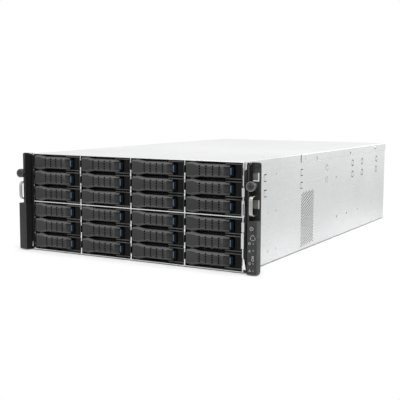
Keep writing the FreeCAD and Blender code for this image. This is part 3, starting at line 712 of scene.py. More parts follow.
# Near-black plastic of the tray bezel and rim. The same finish is painted shade in the lever's holes and on the
# strip before the left wall, and darkens the ear moulding's slanted inner faces.
BLACK_AND_PAINTED_SHADE = Finish(
    "black_tray_plastic", (0.004, 0.004, 0.004), (0.008, 0.008, 0.008), (0.5, 0.6), fineness=1000.0,
    bump=0.2, specular=0.15,
)
LATCH_NAVY = Finish(
    "navy_latch_plastic", (0.0015, 0.0045, 0.010), (0.003, 0.0075, 0.015), (0.36, 0.46), fineness=1600.0,
    bump=0.06, specular=0.1,
)
# Lighter steel blue of the latch's raised rib: painted highlight in place of the reflection on the latch front.
RIB_PAINTED_HIGHLIGHT = Finish(
    "rib_steel_blue_painted_highlight", (0.07, 0.12, 0.17), (0.11, 0.165, 0.22), (0.25, 0.34), fineness=1600.0, bump=0.06,
)
SMOKE = Finish(
    "smoked_lens", (0.004, 0.004, 0.0045), (0.009, 0.009, 0.0095), (0.4, 0.5), fineness=1200.0,
    bump=0.05, specular=0.12,
)
RUNNER_STEEL = Finish("tray_runner_steel", (0.6, 0.6, 0.61), (0.72, 0.72, 0.73), (0.3, 0.4), 1.0, True, bump=0.06)
HANDLE = Finish("satin_handle_metal", (0.42, 0.415, 0.40), (0.56, 0.555, 0.54), (0.22, 0.32), 1.0, True, bump=0.1)
# Grey-beige plates in the ear's slot and window: painted light in place of the surfaces seen through the
# openings.
OPENING_PAINTED_LIGHT = Finish(
    "grey_beige_liner", (0.24, 0.235, 0.215), (0.33, 0.32, 0.3), (0.5, 0.6), fineness=1500.0,
    bump=0.1, specular=0.3,
)
GRILLE = Finish("bright_wire", (0.5, 0.5, 0.51), (0.62, 0.62, 0.63), (0.2, 0.3), 1.0, True, bump=0.03)
INLET = Finish(
    "inlet_plastic", (0.012, 0.012, 0.013), (0.022, 0.022, 0.023), (0.35, 0.45), fineness=1200.0, bump=0.1
)
ICON = Finish("white_ink", (0.62, 0.62, 0.62), (0.78, 0.78, 0.78), (0.5, 0.6), fineness=2000.0, bump=0.05)
KNOB = Finish(
    "ribbed_knob_plastic", (0.018, 0.018, 0.019), (0.11, 0.11, 0.11), (0.36, 0.48), fineness=900.0, cloud=420.0,
    bump=0.5, specular=0.5, edge=(0.42, 0.42, 0.42),
)
BUTTON = Finish("button_plastic", (0.03, 0.03, 0.032), (0.05, 0.05, 0.052), (0.3, 0.4), bump=0.1)
LENS = Finish("clear_light_pipe", (0.2, 0.21, 0.22), (0.3, 0.31, 0.32), (0.08, 0.14), bump=0.02, coat=0.6)
BOARD = Finish("green_circuit_board", (0.006, 0.06, 0.02), (0.012, 0.1, 0.035), (0.25, 0.4), bump=0.3, coat=0.2)
BRASS = Finish("turned_brass", (0.6, 0.44, 0.18), (0.72, 0.55, 0.26), (0.22, 0.34), 1.0, True, bump=0.05)
FAN_PLASTIC = Finish("fan_plastic", (0.012, 0.012, 0.012), (0.024, 0.024, 0.024), (0.34, 0.48), bump=0.15)
SUPPLY = Finish("supply_case_steel", (0.5, 0.505, 0.51), (0.62, 0.625, 0.63), (0.32, 0.45), 1.0, True, bump=0.08)


class Studio:
    """Floor, soft light and the camera at the photograph's place."""

    eye: Triple = (779.88, -1155.69, 266.46)
    yaw: float = -29.294
    pitch: float = 6.703
    roll: float = 0.218
    lens: float = 73.71
    sensor: float = 36.0
    fill: float = 0.36

    def build(self) -> None:
        """Make the stage, the light and the camera."""
        self.camera()
        self.floor()
        self.world()
        self.lamps()
        bpy.context.scene.view_settings.view_transform = "Standard"

    def camera(self) -> None:
        """Place the camera."""
        yaw, pitch, roll = (math.radians(v) for v in (self.yaw, self.pitch, self.roll))
        ahead = Vector((math.cos(pitch) * math.sin(yaw), math.cos(pitch) * math.cos(yaw), -math.sin(pitch)))
        right = Vector((math.cos(yaw), -math.sin(yaw), 0.0))
        up = right.cross(ahead)
        side = right * math.cos(roll) + up * math.sin(roll)
        top = up * math.cos(roll) - right * math.sin(roll)
        data = bpy.data.cameras.new("photo_camera")
        data.lens = self.lens
        data.sensor_width = self.sensor
        data.clip_start = 0.05
        data.clip_end = 50.0
        cam = bpy.data.objects.new("photo_camera", data)
        turn = Matrix((side, top, -ahead)).transposed().to_4x4()
        cam.matrix_world = Matrix.Translation(Vector(self.eye) * MM) @ turn
        bpy.context.collection.objects.link(cam)
        bpy.context.scene.camera = cam

    def floor(self) -> None:
        """Lay a plain pale floor that keeps the shadow and fades to white far from the object."""
        Bench.clear()
        bpy.ops.mesh.primitive_plane_add(size=60.0, location=(0.0, 0.0, -0.0018))
        floor = Bench.settle("floor")
        paint = bpy.data.materials.new("pale_floor")
        paint.use_nodes = True
        graph = Graph(paint.node_tree)
        shader = paint.node_tree.nodes["Principled BSDF"]
        shader.inputs["Roughness"].default_value = 0.9
        shader.inputs["Specular IOR Level"].default_value = 0.0
        rays = graph.add("ShaderNodeLightPath")
        colour = Finish.blend(graph, rays.outputs["Is Diffuse Ray"], (0.97, 0.97, 0.97), (0.5, 0.5, 0.5))
        graph.link(colour, shader.inputs["Base Color"])
        white = graph.add("ShaderNodeEmission", Color=(1.0, 1.0, 1.0, 1.0))
        place = graph.add("ShaderNodeTexCoord")
        parts = graph.add("ShaderNodeSeparateXYZ")
        far = graph.add("ShaderNodeMath", operation="MAXIMUM")
        seen = graph.add("ShaderNodeMath", operation="MAXIMUM")
        both = graph.add("ShaderNodeMath", operation="MULTIPLY")
        mix = graph.add("ShaderNodeMixShader")
        graph.wire(place, "Object", parts, 0)
        graph.link(self.beyond(graph, parts.outputs["X"], 0.0, 0.22), far.inputs[0])
        graph.link(self.beyond(graph, parts.outputs["Y"], 0.37, 0.37), far.inputs[1])
        graph.wire(rays, "Is Camera Ray", seen, 0)
        graph.wire(rays, "Is Glossy Ray", seen, 1)
        graph.link(graph.ramp(far.outputs["Value"], 0.0, 0.11), both.inputs[0])
        graph.wire(seen, 0, both, 1)
        graph.link(self.reflected(graph, parts, far, rays), white.inputs["Strength"])
        graph.wire(both, 0, mix, 0)
        graph.wire(shader, 0, mix, 1)
        graph.wire(white, 0, mix, 2)
        graph.link(mix.outputs[0], paint.node_tree.nodes["Material Output"].inputs["Surface"])
        floor.data.materials.append(paint)

    @staticmethod
    def reflected(graph: Graph, parts: bpy.types.Node, far: bpy.types.Node, rays: bpy.types.Node) -> Socket:
        """Brightness of the floor: full where seen directly, falling off beside the object in metal.

        Args:
            graph: graph to add to.
            parts: node with the place on the floor.
            far: node with the distance from the object.
            rays: light path node.
        Returns:
            The brightness socket.
        """
        side = graph.add("ShaderNodeMath", operation="MULTIPLY")
        fall = graph.add("ShaderNodeMath", operation="MULTIPLY")
        left = graph.add("ShaderNodeMath", operation="MULTIPLY_ADD")
        left.inputs[1].default_value = -0.42
        left.inputs[2].default_value = 1.0
        graph.link(graph.ramp(far.outputs["Value"], 0.05, 1.0), side.inputs[0])
        graph.link(graph.ramp(parts.outputs["Y"], 2.3, 1.0), side.inputs[1])
        graph.wire(side, 0, fall, 0)
        graph.wire(rays, "Is Glossy Ray", fall, 1)
        graph.wire(fall, 0, left, 0)
        return left.outputs[0]

    @staticmethod
    def beyond(graph: Graph, coordinate: Socket, centre: float, half: float) -> Socket:
        """Distance by which a coordinate lies outside a span.

        Args:
            graph: graph to add to.
            coordinate: socket of the coordinate.
            centre: middle of the span in metres.
            half: half its length in metres.
        Returns:
            The distance's socket, negative inside the span.
        """
        shifted = graph.add("ShaderNodeMath", operation="SUBTRACT")
        shifted.inputs[1].default_value = centre
        size = graph.add("ShaderNodeMath", operation="ABSOLUTE")
        outside = graph.add("ShaderNodeMath", operation="SUBTRACT")
        outside.inputs[1].default_value = half
        graph.link(coordinate, shifted.inputs[0])
        graph.wire(shifted, 0, size, 0)
        graph.wire(size, 0, outside, 0)
        return outside.outputs[0]

    def world(self) -> None:
        """Light from all round, white where it is seen directly or in a reflection."""
        world = bpy.data.worlds.new("soft_room")
        bpy.context.scene.world = world
        world.use_nodes = True
        world.node_tree.nodes.clear()
        graph = Graph(world.node_tree)
        out = graph.add("ShaderNodeOutputWorld")
        room = graph.add("ShaderNodeBackground", Color=(1.0, 1.0, 1.0, 1.0), Strength=self.fill)
        white = graph.add("ShaderNodeBackground", Color=(1.0, 1.0, 1.0, 1.0), Strength=1.0)
        rays = graph.add("ShaderNodeLightPath")
        seen = graph.add("ShaderNodeMath", operation="MAXIMUM")
        either = graph.add("ShaderNodeMath", operation="MAXIMUM")
        mix = graph.add("ShaderNodeMixShader")
        graph.wire(rays, "Is Camera Ray", seen, 0)
        graph.wire(rays, "Is Glossy Ray", seen, 1)
        graph.wire(seen, 0, either, 0)
        graph.wire(rays, "Is Transmission Ray", either, 1)
        graph.wire(either, 0, mix, 0)
        graph.wire(room, 0, mix, 1)
        graph.wire(white, 0, mix, 2)
        graph.wire(mix, 0, out, "Surface")

    def lamps(self) -> None:
        """Hang one broad lamp over the object and a weaker one behind its right side."""
        self.lamp("overhead_soft_box", (0.3, -0.2, 2.4), (0.0, 0.3, 0.0), 2.6, 74.0)
        self.lamp("rear_side_soft_box", (1.1, 2.4, 0.9), (0.2, 0.6, 0.1), 1.2, 13.0)

    @staticmethod
    def lamp(name: str, place: Triple, aim: Triple, size: float, power: float) -> None:
        """Add a square area lamp.

        Args:
            name: name of the lamp.
            place: its place in metres.
            aim: point it faces, in metres.
            size: side of the square in metres.
            power: watts.
        """
        data = bpy.data.lights.new(name, "AREA")
        data.size = size
        data.energy = power
        lamp = bpy.data.objects.new(name, data)
        lamp.location = place
        lamp.rotation_euler = (Vector(aim) - Vector(place)).to_track_quat("-Z", "Y").to_euler()
        bpy.context.collection.objects.link(lamp)


@dataclass
class BayGrid:
    """Places of the drive bays."""

    columns: int = 4
    rows: int = 6
    left: float = -211.8
    width: float = 105.0
    plate: float = 1.2
    floors: tuple[float, ...] = (2.8, 31.0, 59.2, 89.9, 118.1, 146.3)

    def corner(self, row: int, column: int) -> Triple:
        """Lower left corner of a tray's front.

        Args:
            row: row number from the top, starting at 1.
            column: column number from the left, starting at 1.
        Returns:
            The corner.
        """
        x = self.left + (column - 1) * (self.width + self.plate) + 0.5
        return x, 0.0, self.floors[self.rows - row]


@dataclass
class DriveTray:
    """One hot-plug drive tray, modelled with its left edge at x 0 and its bay's floor at z 0."""

    width: float = 104.0
    low: float = 0.5
    high: float = 27.7
    front: float = -6.0
    lever_front: float = -7.0
    lever_back: float = 1.0
    lever_length: float = 81.1
    waist_start: float = 14.0
    waist_full: float = 27.5
    waist_height: float = 21.2
    waist_ease: float = 0.55
    band_height: float = 4.2
    band_depth: float = 2.8
    band_from: float = 6.5
    hinge_bevels: tuple[float, float] = (3.8, 0.9)
    hole_first: float = 26.7
    hole_pitch: float = 12.0
    hole_size: float = 2.7
    hole_rows: int = 4
    hole_columns: int = 4
    hole_step: float = 4.35
    scoop_start: float = 70.0
    scoop_radius: float = 15.0
    scoop_depth: float = 5.2
    latch: tuple[float, float] = (81.5, 89.1)
    latch_height: float = 13.6
    latch_back: float = 4.2
    rib_half: float = 5.4
    rim_left: float = 91.9
    line_left: float = 74.0
    rim: float = 1.6
    plate: tuple[float, float] = (4.5, 6.5)
    runner_half: float = 51.0
    runner_wall: float = 0.9
    runner_low: float = 0.9
    runner_high: float = 22.9
    runner_back: float = 170.0
    runner_bar: float = 14.0
    bar_holes: tuple[float, ...] = (-30.0, 0.0, 30.0)
    drive_holes: tuple[float, ...] = (32.0, 76.0, 136.0)
    drive_hole_z: float = 7.2
    lug: tuple[float, float] = (2.5, 8.6)
    lug_front: float = -4.8
    lug_gap: float = 9.7

    @property
    def middle(self) -> float:
        """Height of the tray's middle line."""
        return (self.low + self.high) / 2

    def lever(self) -> Piece:
        """Model the swing lever with its waist, bevelled bands, holes and finger scoop.

        Returns:
            The lever.
        """
        lever = Bench.box(
            "lever_pattern", (0, self.lever_front, self.low), (self.lever_length, self.lever_back, self.high)
        )
        Bench.split(lever, 2, (self.low + self.band_height, self.high - self.band_height))
        Bench.split(lever, 0, (self.waist_start, (self.waist_start + self.waist_full) / 2, self.waist_full))
        step = (self.high - self.low - self.waist_height) / 2
        full, half = self.waist_full - 0.1, (self.waist_start + self.waist_full) / 2
        for side, move in ((1, -step), (-1, step)):
            Bench.shift(lever, lambda v, s=side: v.x > full and (v.z - self.middle) * s > 0, (0, 0, move))
            Bench.shift(
                lever,
                lambda v, s=side: abs(v.x - half) < 0.2 and (v.z - self.middle) * s > 0,
                (0, 0, move * self.waist_ease),
            )
        Bench.shift(
            lever,
            lambda v: v.y < self.lever_front + 0.1 and abs(v.z - self.middle) > self.reach(v.x) - 0.3,
            (0, self.band_depth, 0),
        )
        near, far = self.hinge_bevels
        Bench.bevel_edges(lever, lambda v: v.x < 0.1 and v.y < self.lever_front + self.band_depth + 0.1, near, 5)
        Bench.bevel_edges(lever, lambda v: v.x < 0.1 and v.y > self.lever_back - 0.1, far, 2)
        Bench.soften(lever, 0.35, 2, 24.0)
        cutters = []
        for column in range(self.hole_columns):
            x = self.hole_first + column * self.hole_pitch
            for row in range(self.hole_rows):
                z = self.middle + (row - (self.hole_rows - 1) / 2) * self.hole_step
                half_hole = self.hole_size / 2
                cutters.append(
                    Bench.box(
                        "hole",
                        (x - half_hole, self.lever_front - 1, z - half_hole),
                        (x + half_hole, self.lever_back + 1, z + half_hole),
                    )
                )
        depth = self.scoop_radius - self.scoop_depth
        cutters.append(
            Bench.rod(
                "scoop",
                (self.lever_length + 0.6, self.lever_front - depth, self.middle),
                self.scoop_radius,
                self.latch_height + 1.0,
                Along.Z,
                64,
            )
        )
        Bench.combine(lever, cutters)
        self.relieve(lever)
        Bench.smooth(lever)
        TRAY_PLASTIC.put_on(lever)
        # The walls of the lever's square holes get the near-black finish: painted shade inside the holes.
        BLACK_AND_PAINTED_SHADE.tint(lever, self.in_hole)
        # Both bevelled bands take the lighter copy of the plastic: painted highlight.
        TRAY_BAND_HIGHLIGHT.tint(lever, self.in_band)
        return lever

    def in_hole(self, middle: Triple) -> bool:
        """Tell whether a face lies in one of the lever's square holes.

        Args:
            middle: middle of the face.
        Returns:
            True in a hole.
        """
        column = round((middle.x - self.hole_first) / self.hole_pitch)
        row = round((middle.z - self.middle) / self.hole_step + (self.hole_rows - 1) / 2)
        if not (0 <= column < self.hole_columns and 0 <= row < self.hole_rows):
            return False
        x = self.hole_first + column * self.hole_pitch
        z = self.middle + (row - (self.hole_rows - 1) / 2) * self.hole_step
        near = self.hole_size / 2 + 0.1
        return abs(middle.x - x) < near and abs(middle.z - z) < near and middle.y > self.lever_front + 0.2

    def in_band(self, middle: Triple) -> bool:
        """Tell whether a face lies on the lever's upper or lower bevelled band.

        Args:
            middle: middle of the face.
        Returns:
            True on a band.
        """
        return (
            self.lever_front + 0.3 < middle.y < self.lever_front + self.band_depth - 0.4
            and abs(middle.z - self.middle) > self.band_from
        )

    def reach(self, x: float) -> float:
        """Half height of the lever at a place along it.

        Args:
            x: distance from the tray's left edge.
        Returns:
            The half height.
        """
        full = (self.high - self.low) / 2
        step = full - self.waist_height / 2
        middle = (self.waist_start + self.waist_full) / 2
        if x > self.waist_full - 0.1:
            return full - step
        return full - step * self.waist_ease if abs(x - middle) < 0.2 else full

    def relieve(self, lever: Piece) -> None:
        """Cut room for the pivot lugs above and below the lever's knuckle.

        Args:
            lever: lever to cut.
        """
        room = []
        gap, front, right = self.lug_gap - 0.2, self.lug_front - 0.4, self.lug[1] + 0.4
        for start, end in ((-1.0, self.middle - gap), (self.middle + gap, self.high + 2.3)):
            room.append(Bench.box("room", (-1.0, front, start), (right, self.lever_back + 1, end)))
        Bench.combine(lever, room)

    def latch_piece(self) -> Piece:
        """Model the latch bar with its rounded front.

        Returns:
            The latch.
        """
        left, right = self.latch
        half = self.latch_height / 2
        latch = Bench.box(
            "latch_pattern",
            (left, self.lever_front, self.middle - half),
            (right, self.latch_back, self.middle + half),
        )
        Bench.bevel_edges(latch, lambda v: v.y < self.lever_front + 0.1 and abs(v.x - left) < 0.1, 0.8, 3)
        Bench.bevel_edges(latch, lambda v: v.y < self.lever_front + 0.1 and abs(v.x - right) < 0.1, 2.6, 4)
        Bench.soften(latch, 0.3, 2, 40.0)
        LATCH_NAVY.put_on(latch)
        return latch

    def rib(self) -> Piece:
        """Model the raised finger rib on the latch; its lighter steel-blue colour is a painted highlight.

        Returns:
            The rib.
        """
        left = self.latch[0] + 1.3
        rib = Bench.box(
            "rib_pattern",
            (left, self.lever_front - 0.45, self.middle - self.rib_half),
            (left + 2.2, self.lever_front + 1.5, self.middle + self.rib_half),
        )
        Bench.bevel_edges(rib, lambda v: v.y < self.lever_front, 0.4, 3)
        Bench.smooth(rib)
        RIB_PAINTED_HIGHLIGHT.put_on(rib)
        return rib

    def bezel(self) -> Piece:
        """Model the front plate with its lugs, air slot and the rim round the light pipe.

        Returns:
            The bezel.
        """
        bezel = Bench.box("bezel_pattern", (0, self.plate[0], self.low), (self.width, self.plate[1], self.high))
        Bench.combine(
            bezel,
            [Bench.box("slot", (self.waist_full, 0, self.middle - 4), (self.scoop_start, 9, self.middle + 4))],
        )
        rim = Bench.box("rim", (self.rim_left, self.front, self.low), (self.width, self.plate[0], self.high))
        Bench.edit(rim, Pick.FACES, lambda m: m.y < self.front + 0.1)
        bpy.ops.mesh.inset(thickness=self.rim * MM, depth=0.0)
        bpy.ops.transform.translate(value=(0.0, self.rim * MM, 0.0))
        Bench.done()
        parts = [bezel, rim]
        left, right = self.lug
        for start, end in ((self.low, self.middle - self.lug_gap), (self.middle + self.lug_gap, self.high)):
            lug = Bench.box("lug", (left, self.lug_front, start), (right, self.plate[0], end))
            Bench.bevel_edges(lug, lambda v: v.y < self.lug_front + 0.1 and v.x < left + 0.1, 1.0, 3)
            parts.append(lug)
        for part in parts:
            Bench.soften(part, 0.3, 2, 40.0)
        bezel = Bench.join(parts)
        BLACK_AND_PAINTED_SHADE.put_on(bezel)
        return bezel

    def frame_lines(self) -> Piece:
        """Model the rim's raised upper and lower lines and its right edge.

        Returns:
            The lines, as one object.
        """
        low, high, right = self.low, self.high, self.width
        face, inside = self.front - 0.5, self.front + 2
        parts = [
            Bench.box("line", (self.line_left, face, high - 2.4), (right, inside, high - 1.0)),
            Bench.box("line", (self.line_left, face, low + 1.0), (right, inside, low + 2.4)),
            Bench.box("line", (right - 0.9, face + 0.1, low + 1.2), (right, inside, high - 1.4)),
        ]
        for part in parts:
            Bench.soften(part, 0.25, 2)
        lines = Bench.join(parts)
        lines.name = "rim_pattern"
        TRAY_PLASTIC.put_on(lines)
        return lines

    def lens(self) -> Piece:
        """Model the smoked lens of the light pipe, slightly bowed.

        Returns:
            The lens.
        """
        left, right = self.rim_left + self.rim, self.width - self.rim
        lens = Bench.box(
            "lens_pattern",
            (left, self.front + 0.7, self.low + 2.6),
            (right, self.front + 2.2, self.high - 2.6),
        )
        Bench.split(lens, 0, ((left * 2 + right) / 3, (left + right * 2) / 3))
        Bench.shift(lens, lambda v: v.y < self.front + 1 and left + 1 < v.x < right - 1, (0, -0.35, 0))
        Bench.soften(lens, 0.25, 2, 20.0)
        SMOKE.put_on(lens)
        return lens

    def runner(self) -> Piece:
        """Model the steel runner: two side rails with drive screw holes, joined by two cross bars.

        Returns:
            The runner.
        """
        half = self.width / 2
        parts = []
        for side in (-1, 1):
            ends = sorted((half + side * self.runner_half, half + side * (self.runner_half + self.runner_wall)))
            rail = Bench.box(
                "rail", (ends[0], self.plate[1], self.runner_low), (ends[1], self.runner_back, self.runner_high)
            )
            back, high = self.runner_back - 0.1, self.runner_high - 0.1
            Bench.bevel_edges(rail, lambda v: v.y > back and v.z > high, 5.0, 4, 0)
            x, z = sum(ends) / 2, self.drive_hole_z
            holes = [Bench.rod("hole", (x, y, z), 1.8, 4.0, Along.X, 16) for y in self.drive_holes]
            Bench.combine(rail, holes)
            parts.append(rail)
        reach = self.runner_half - 0.05
        low = self.runner_low
        for start in (self.plate[1], self.runner_back - self.runner_bar):
            bar = Bench.box("bar", (half - reach, start, low), (half + reach, start + self.runner_bar, low + 0.8))
            y = start + self.runner_bar / 2
            holes = [Bench.rod("hole", (half + x, y, low + 0.4), 2.4, 4.0, Along.Z, 16) for x in self.bar_holes]
            Bench.combine(bar, holes)
            parts.append(bar)
        for part in parts:
            Bench.smooth(part)
        runner = Bench.join(parts)
        RUNNER_STEEL.put_on(runner)
        return runner

    def place(self, grid: BayGrid) -> None:
        """Model each part once and copy it into every bay.

        Args:
            grid: places of the bays.
        """
        parts = {
            "lever": self.lever(),
            "latch": self.latch_piece(),
            "rib": self.rib(),
            "bezel": self.bezel(),
            "rim_line": self.frame_lines(),
            "lens": self.lens(),
            "runner": self.runner(),
        }
        for row in range(1, grid.rows + 1):
            for column in range(1, grid.columns + 1):
                place = f"row{row}_column{column}"
                for kind, pattern in parts.items():
                    piece = Bench.copy(pattern, f"{kind}_{place}", grid.corner(row, column))
                    body = f"tray_{place}"
                    if row == 1 and kind == "lever":
                        body = f"lever_{place}"
                        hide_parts(f"tray_lever_{place}")
                    elif row == 1 and kind in ("latch", "rib"):
                        body = f"latch_{place}"
                        if kind == "latch":
                            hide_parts(f"tray_latch_{place}")
                    elif kind == "bezel":
                        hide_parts(f"drive_tray_{place}")
                    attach(piece, body)
        for pattern in parts.values():
            Bench.drop(pattern)
        log.info("drive trays: %d bays, %d parts each", grid.rows * grid.columns, len(parts))


@dataclass
class BayDividers:
    """Upright plates between the bays, with notched bright front edges."""

    front: float = -6.0
    back: float = 176.0
    hem: tuple[float, float] = (1.5, 1.0)
    hem_depth: float = 3.2
    rows: int = 3
    outside: float = 212.6
    ledge: float = 1.6
    ledge_front: float = 16.0
    ledge_sheet: float = 0.6
    notch_span: tuple[float, float] = (8.0, 20.7)
    notch_slope: float = 3.3
    windows: tuple[float, ...] = (112.0, 138.0)
    window_size: tuple[float, float, float] = (60.0, 86.0, 15.0)
    hem_span: tuple[float, float] = (-1.4, 9.3)
    levels: tuple[tuple[float, float, int], ...] = ((1.2, 87.9, 0), (89.4, 174.8, 3))

    def plate(self, name: str, x0: float, x1: float, level: int, grid: BayGrid, hems: bool) -> Piece:
        """Model one divider with its notches and runner ledges.

        Args:
            name: name of the plate.
            x0: left face.
            x1: right face.
            level: 0 below the shelf, 1 above it.
            grid: places of the bays.
            hems: whether the front edge is folded wider.
        Returns:
            The plate.
        """
        low, high, first = self.levels[level]
        floors = grid.floors[first:first + self.rows]
        plate = Bench.box(name, (x0, self.front, low), (x1, self.back, high))
        middle = (x0 + x1) / 2
        cutters = []
        for base in floors:
            start, end = (base + place for place in self.notch_span)
            notch = Bench.box("notch", (x0 - 2, self.front - 1, start), (x1 + 2, self.front + 9, end))
            Bench.shift(notch, lambda v, b=base: v.y > self.front and v.z < b + 10, (0, 0, self.notch_slope))
            cutters.append(notch)
        if not hems and level:
            near, far, tall = self.window_size
            cutters += [Bench.box("window", (x0 - 2, near, z), (x1 + 2, far, z + tall)) for z in self.windows]
        if hems:
            left, right, inside = middle - self.hem[0], middle + self.hem[1], self.front + self.hem_depth
            start, end = self.hem_span
            folds = [
                Bench.box("hem", (left, self.front, max(low, base + start)), (right, inside, base + end))
                for base in floors
            ]
            Bench.combine(plate, folds, "UNION")
        Bench.combine(plate, cutters)
        Bench.soften(plate, 0.2, 2, 50.0)
        ledges = []
        for base in floors:
            sides = ((x0 - self.ledge, x0, x0 > grid.left), (x1, x1 + self.ledge, x1 < -grid.left))
            for start, end, wanted in sides:
                if wanted:
                    low, high = (start, self.ledge_front, base), (end, self.back, base + self.ledge_sheet)
                    ledges.append(Bench.box("ledge", low, high))
        return Bench.join([plate, *ledges])

    def build(self, grid: BayGrid) -> None:
        """Make all dividers as one piece.

        Args:
            grid: places of the bays.
        """
        plates = []
        for level in range(2):
            plates.append(self.plate("outer", -self.outside, grid.left, level, grid, False))
            for column in range(1, grid.columns):
                x1 = grid.left + column * (grid.width + grid.plate)
                plates.append(self.plate("inner", x1 - grid.plate, x1, level, grid, True))
            plates.append(self.plate("outer", -grid.left, self.outside, level, grid, False))
        dividers = Bench.join(plates)
        dividers.name = "bay_divider_plates"
        CHROMATE.put_on(dividers)
        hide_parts("bay_dividers")
        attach(dividers, "chassis")
        log.info("bay dividers: %d plates", len(plates))


@dataclass
class Icons:
    """Generic white marks printed on the right ear."""

    face: float = -15.0
    height: float = 0.06
    stroke: float = 0.55
    rings: tuple[tuple[float, float, float, int], ...] = (
        (229.0, 49.5, 2.0, 28), (229.4, 17.5, 2.0, 28), (229.2, 37.4, 2.5, 3), (229.6, 6.3, 2.5, 3),
        (234.8, 23.9, 2.2, 20),
    )
    bars: tuple[tuple[float, float, float, float, float], ...] = (
        (234.8, 28.2, 5.0, 0.75, 45.0), (234.8, 28.2, 5.0, 0.75, -45.0), (232.8, 62.0, 4.2, 0.75, 38.0),
        (236.0, 62.0, 4.2, 0.75, -38.0), (238.3, 57.4, 0.75, 4.2, 0.0), (230.5, 57.4, 0.75, 4.2, 0.0),
        (234.4, 54.7, 5.0, 0.75, 0.0),
    )
    power: tuple[float, float] = (232.7, 73.1)

    def ring(self, x: float, z: float, radius: float, sides: int = 28) -> Piece:
        """Make a flat ring, or the outline of a triangle with three sides.

        Args:
            x: middle across.
            z: middle height.
            radius: outer radius.
            sides: number of sides.
        Returns:
            The ring.
        """
        ring = Bench.disc("ring", (x, self.face, z), radius, sides)
        Bench.edit(ring, Pick.FACES, lambda m: True)
        bpy.ops.mesh.inset(thickness=self.stroke * MM, depth=0.0)
        bpy.ops.mesh.delete(type="FACE")
        Bench.done()
        return self.raise_up(ring)

    def raise_up(self, mark: Piece) -> Piece:
        """Give a flat mark its ink thickness.

        Args:
            mark: flat mark on the panel.
        Returns:
            The same mark, as a closed solid.
        """
        Bench.edit(mark, Pick.FACES, lambda m: True)
        bpy.ops.mesh.extrude_region_move(TRANSFORM_OT_translate={"value": (0.0, -self.height * MM, 0.0)})
        bpy.ops.mesh.select_all(action="SELECT")
        bpy.ops.mesh.normals_make_consistent(inside=False)
        Bench.done()
        return mark

    def bar(self, x: float, z: float, width: float, height: float, turn: float = 0.0) -> Piece:
        """Make a flat bar, turned in the panel's plane.

        Args:
            x: middle across.
            z: middle height.
            width: size across.
            height: size upwards.
            turn: turn in degrees.
        Returns:
            The bar.
        """
        across, up = width / 2, height / 2
        bar = Bench.box("bar", (x - across, self.face - self.height, z - up), (x + across, self.face, z + up))
        Bench.turn(bar, math.radians(turn), (x, self.face, z))
        return bar

    def build(self) -> None:
        """Print all the marks."""
        marks = [self.ring(*place) for place in self.rings] + [self.bar(*place) for place in self.bars]
        printed = Bench.join(marks)
        printed.name = "ear_marks"
        ICON.put_on(printed)
        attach(printed, "chassis")
        power = self.power_mark()
        ICON.put_on(power)
        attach(power, "power_button")
        log.info("ear marks: %d", len(marks))

    def power_mark(self) -> Piece:
        """Make the open ring with a bar on the power button.

        Returns:
            The mark.
        """
        face = Icons(face=-15.9, height=0.05, stroke=0.7)
        x, z = self.power
        ring = face.ring(x, z, 3.1)
        Bench.edit(ring, Pick.FACES, lambda m: m.z > z + 1.9 and abs(m.x - x) < 1.4)
        bpy.ops.mesh.delete(type="FACE")
        Bench.done()
        mark = Bench.join([ring, face.bar(x, z + 1.7, 0.7, 3.2)])
        mark.name = "power_mark"
        return mark


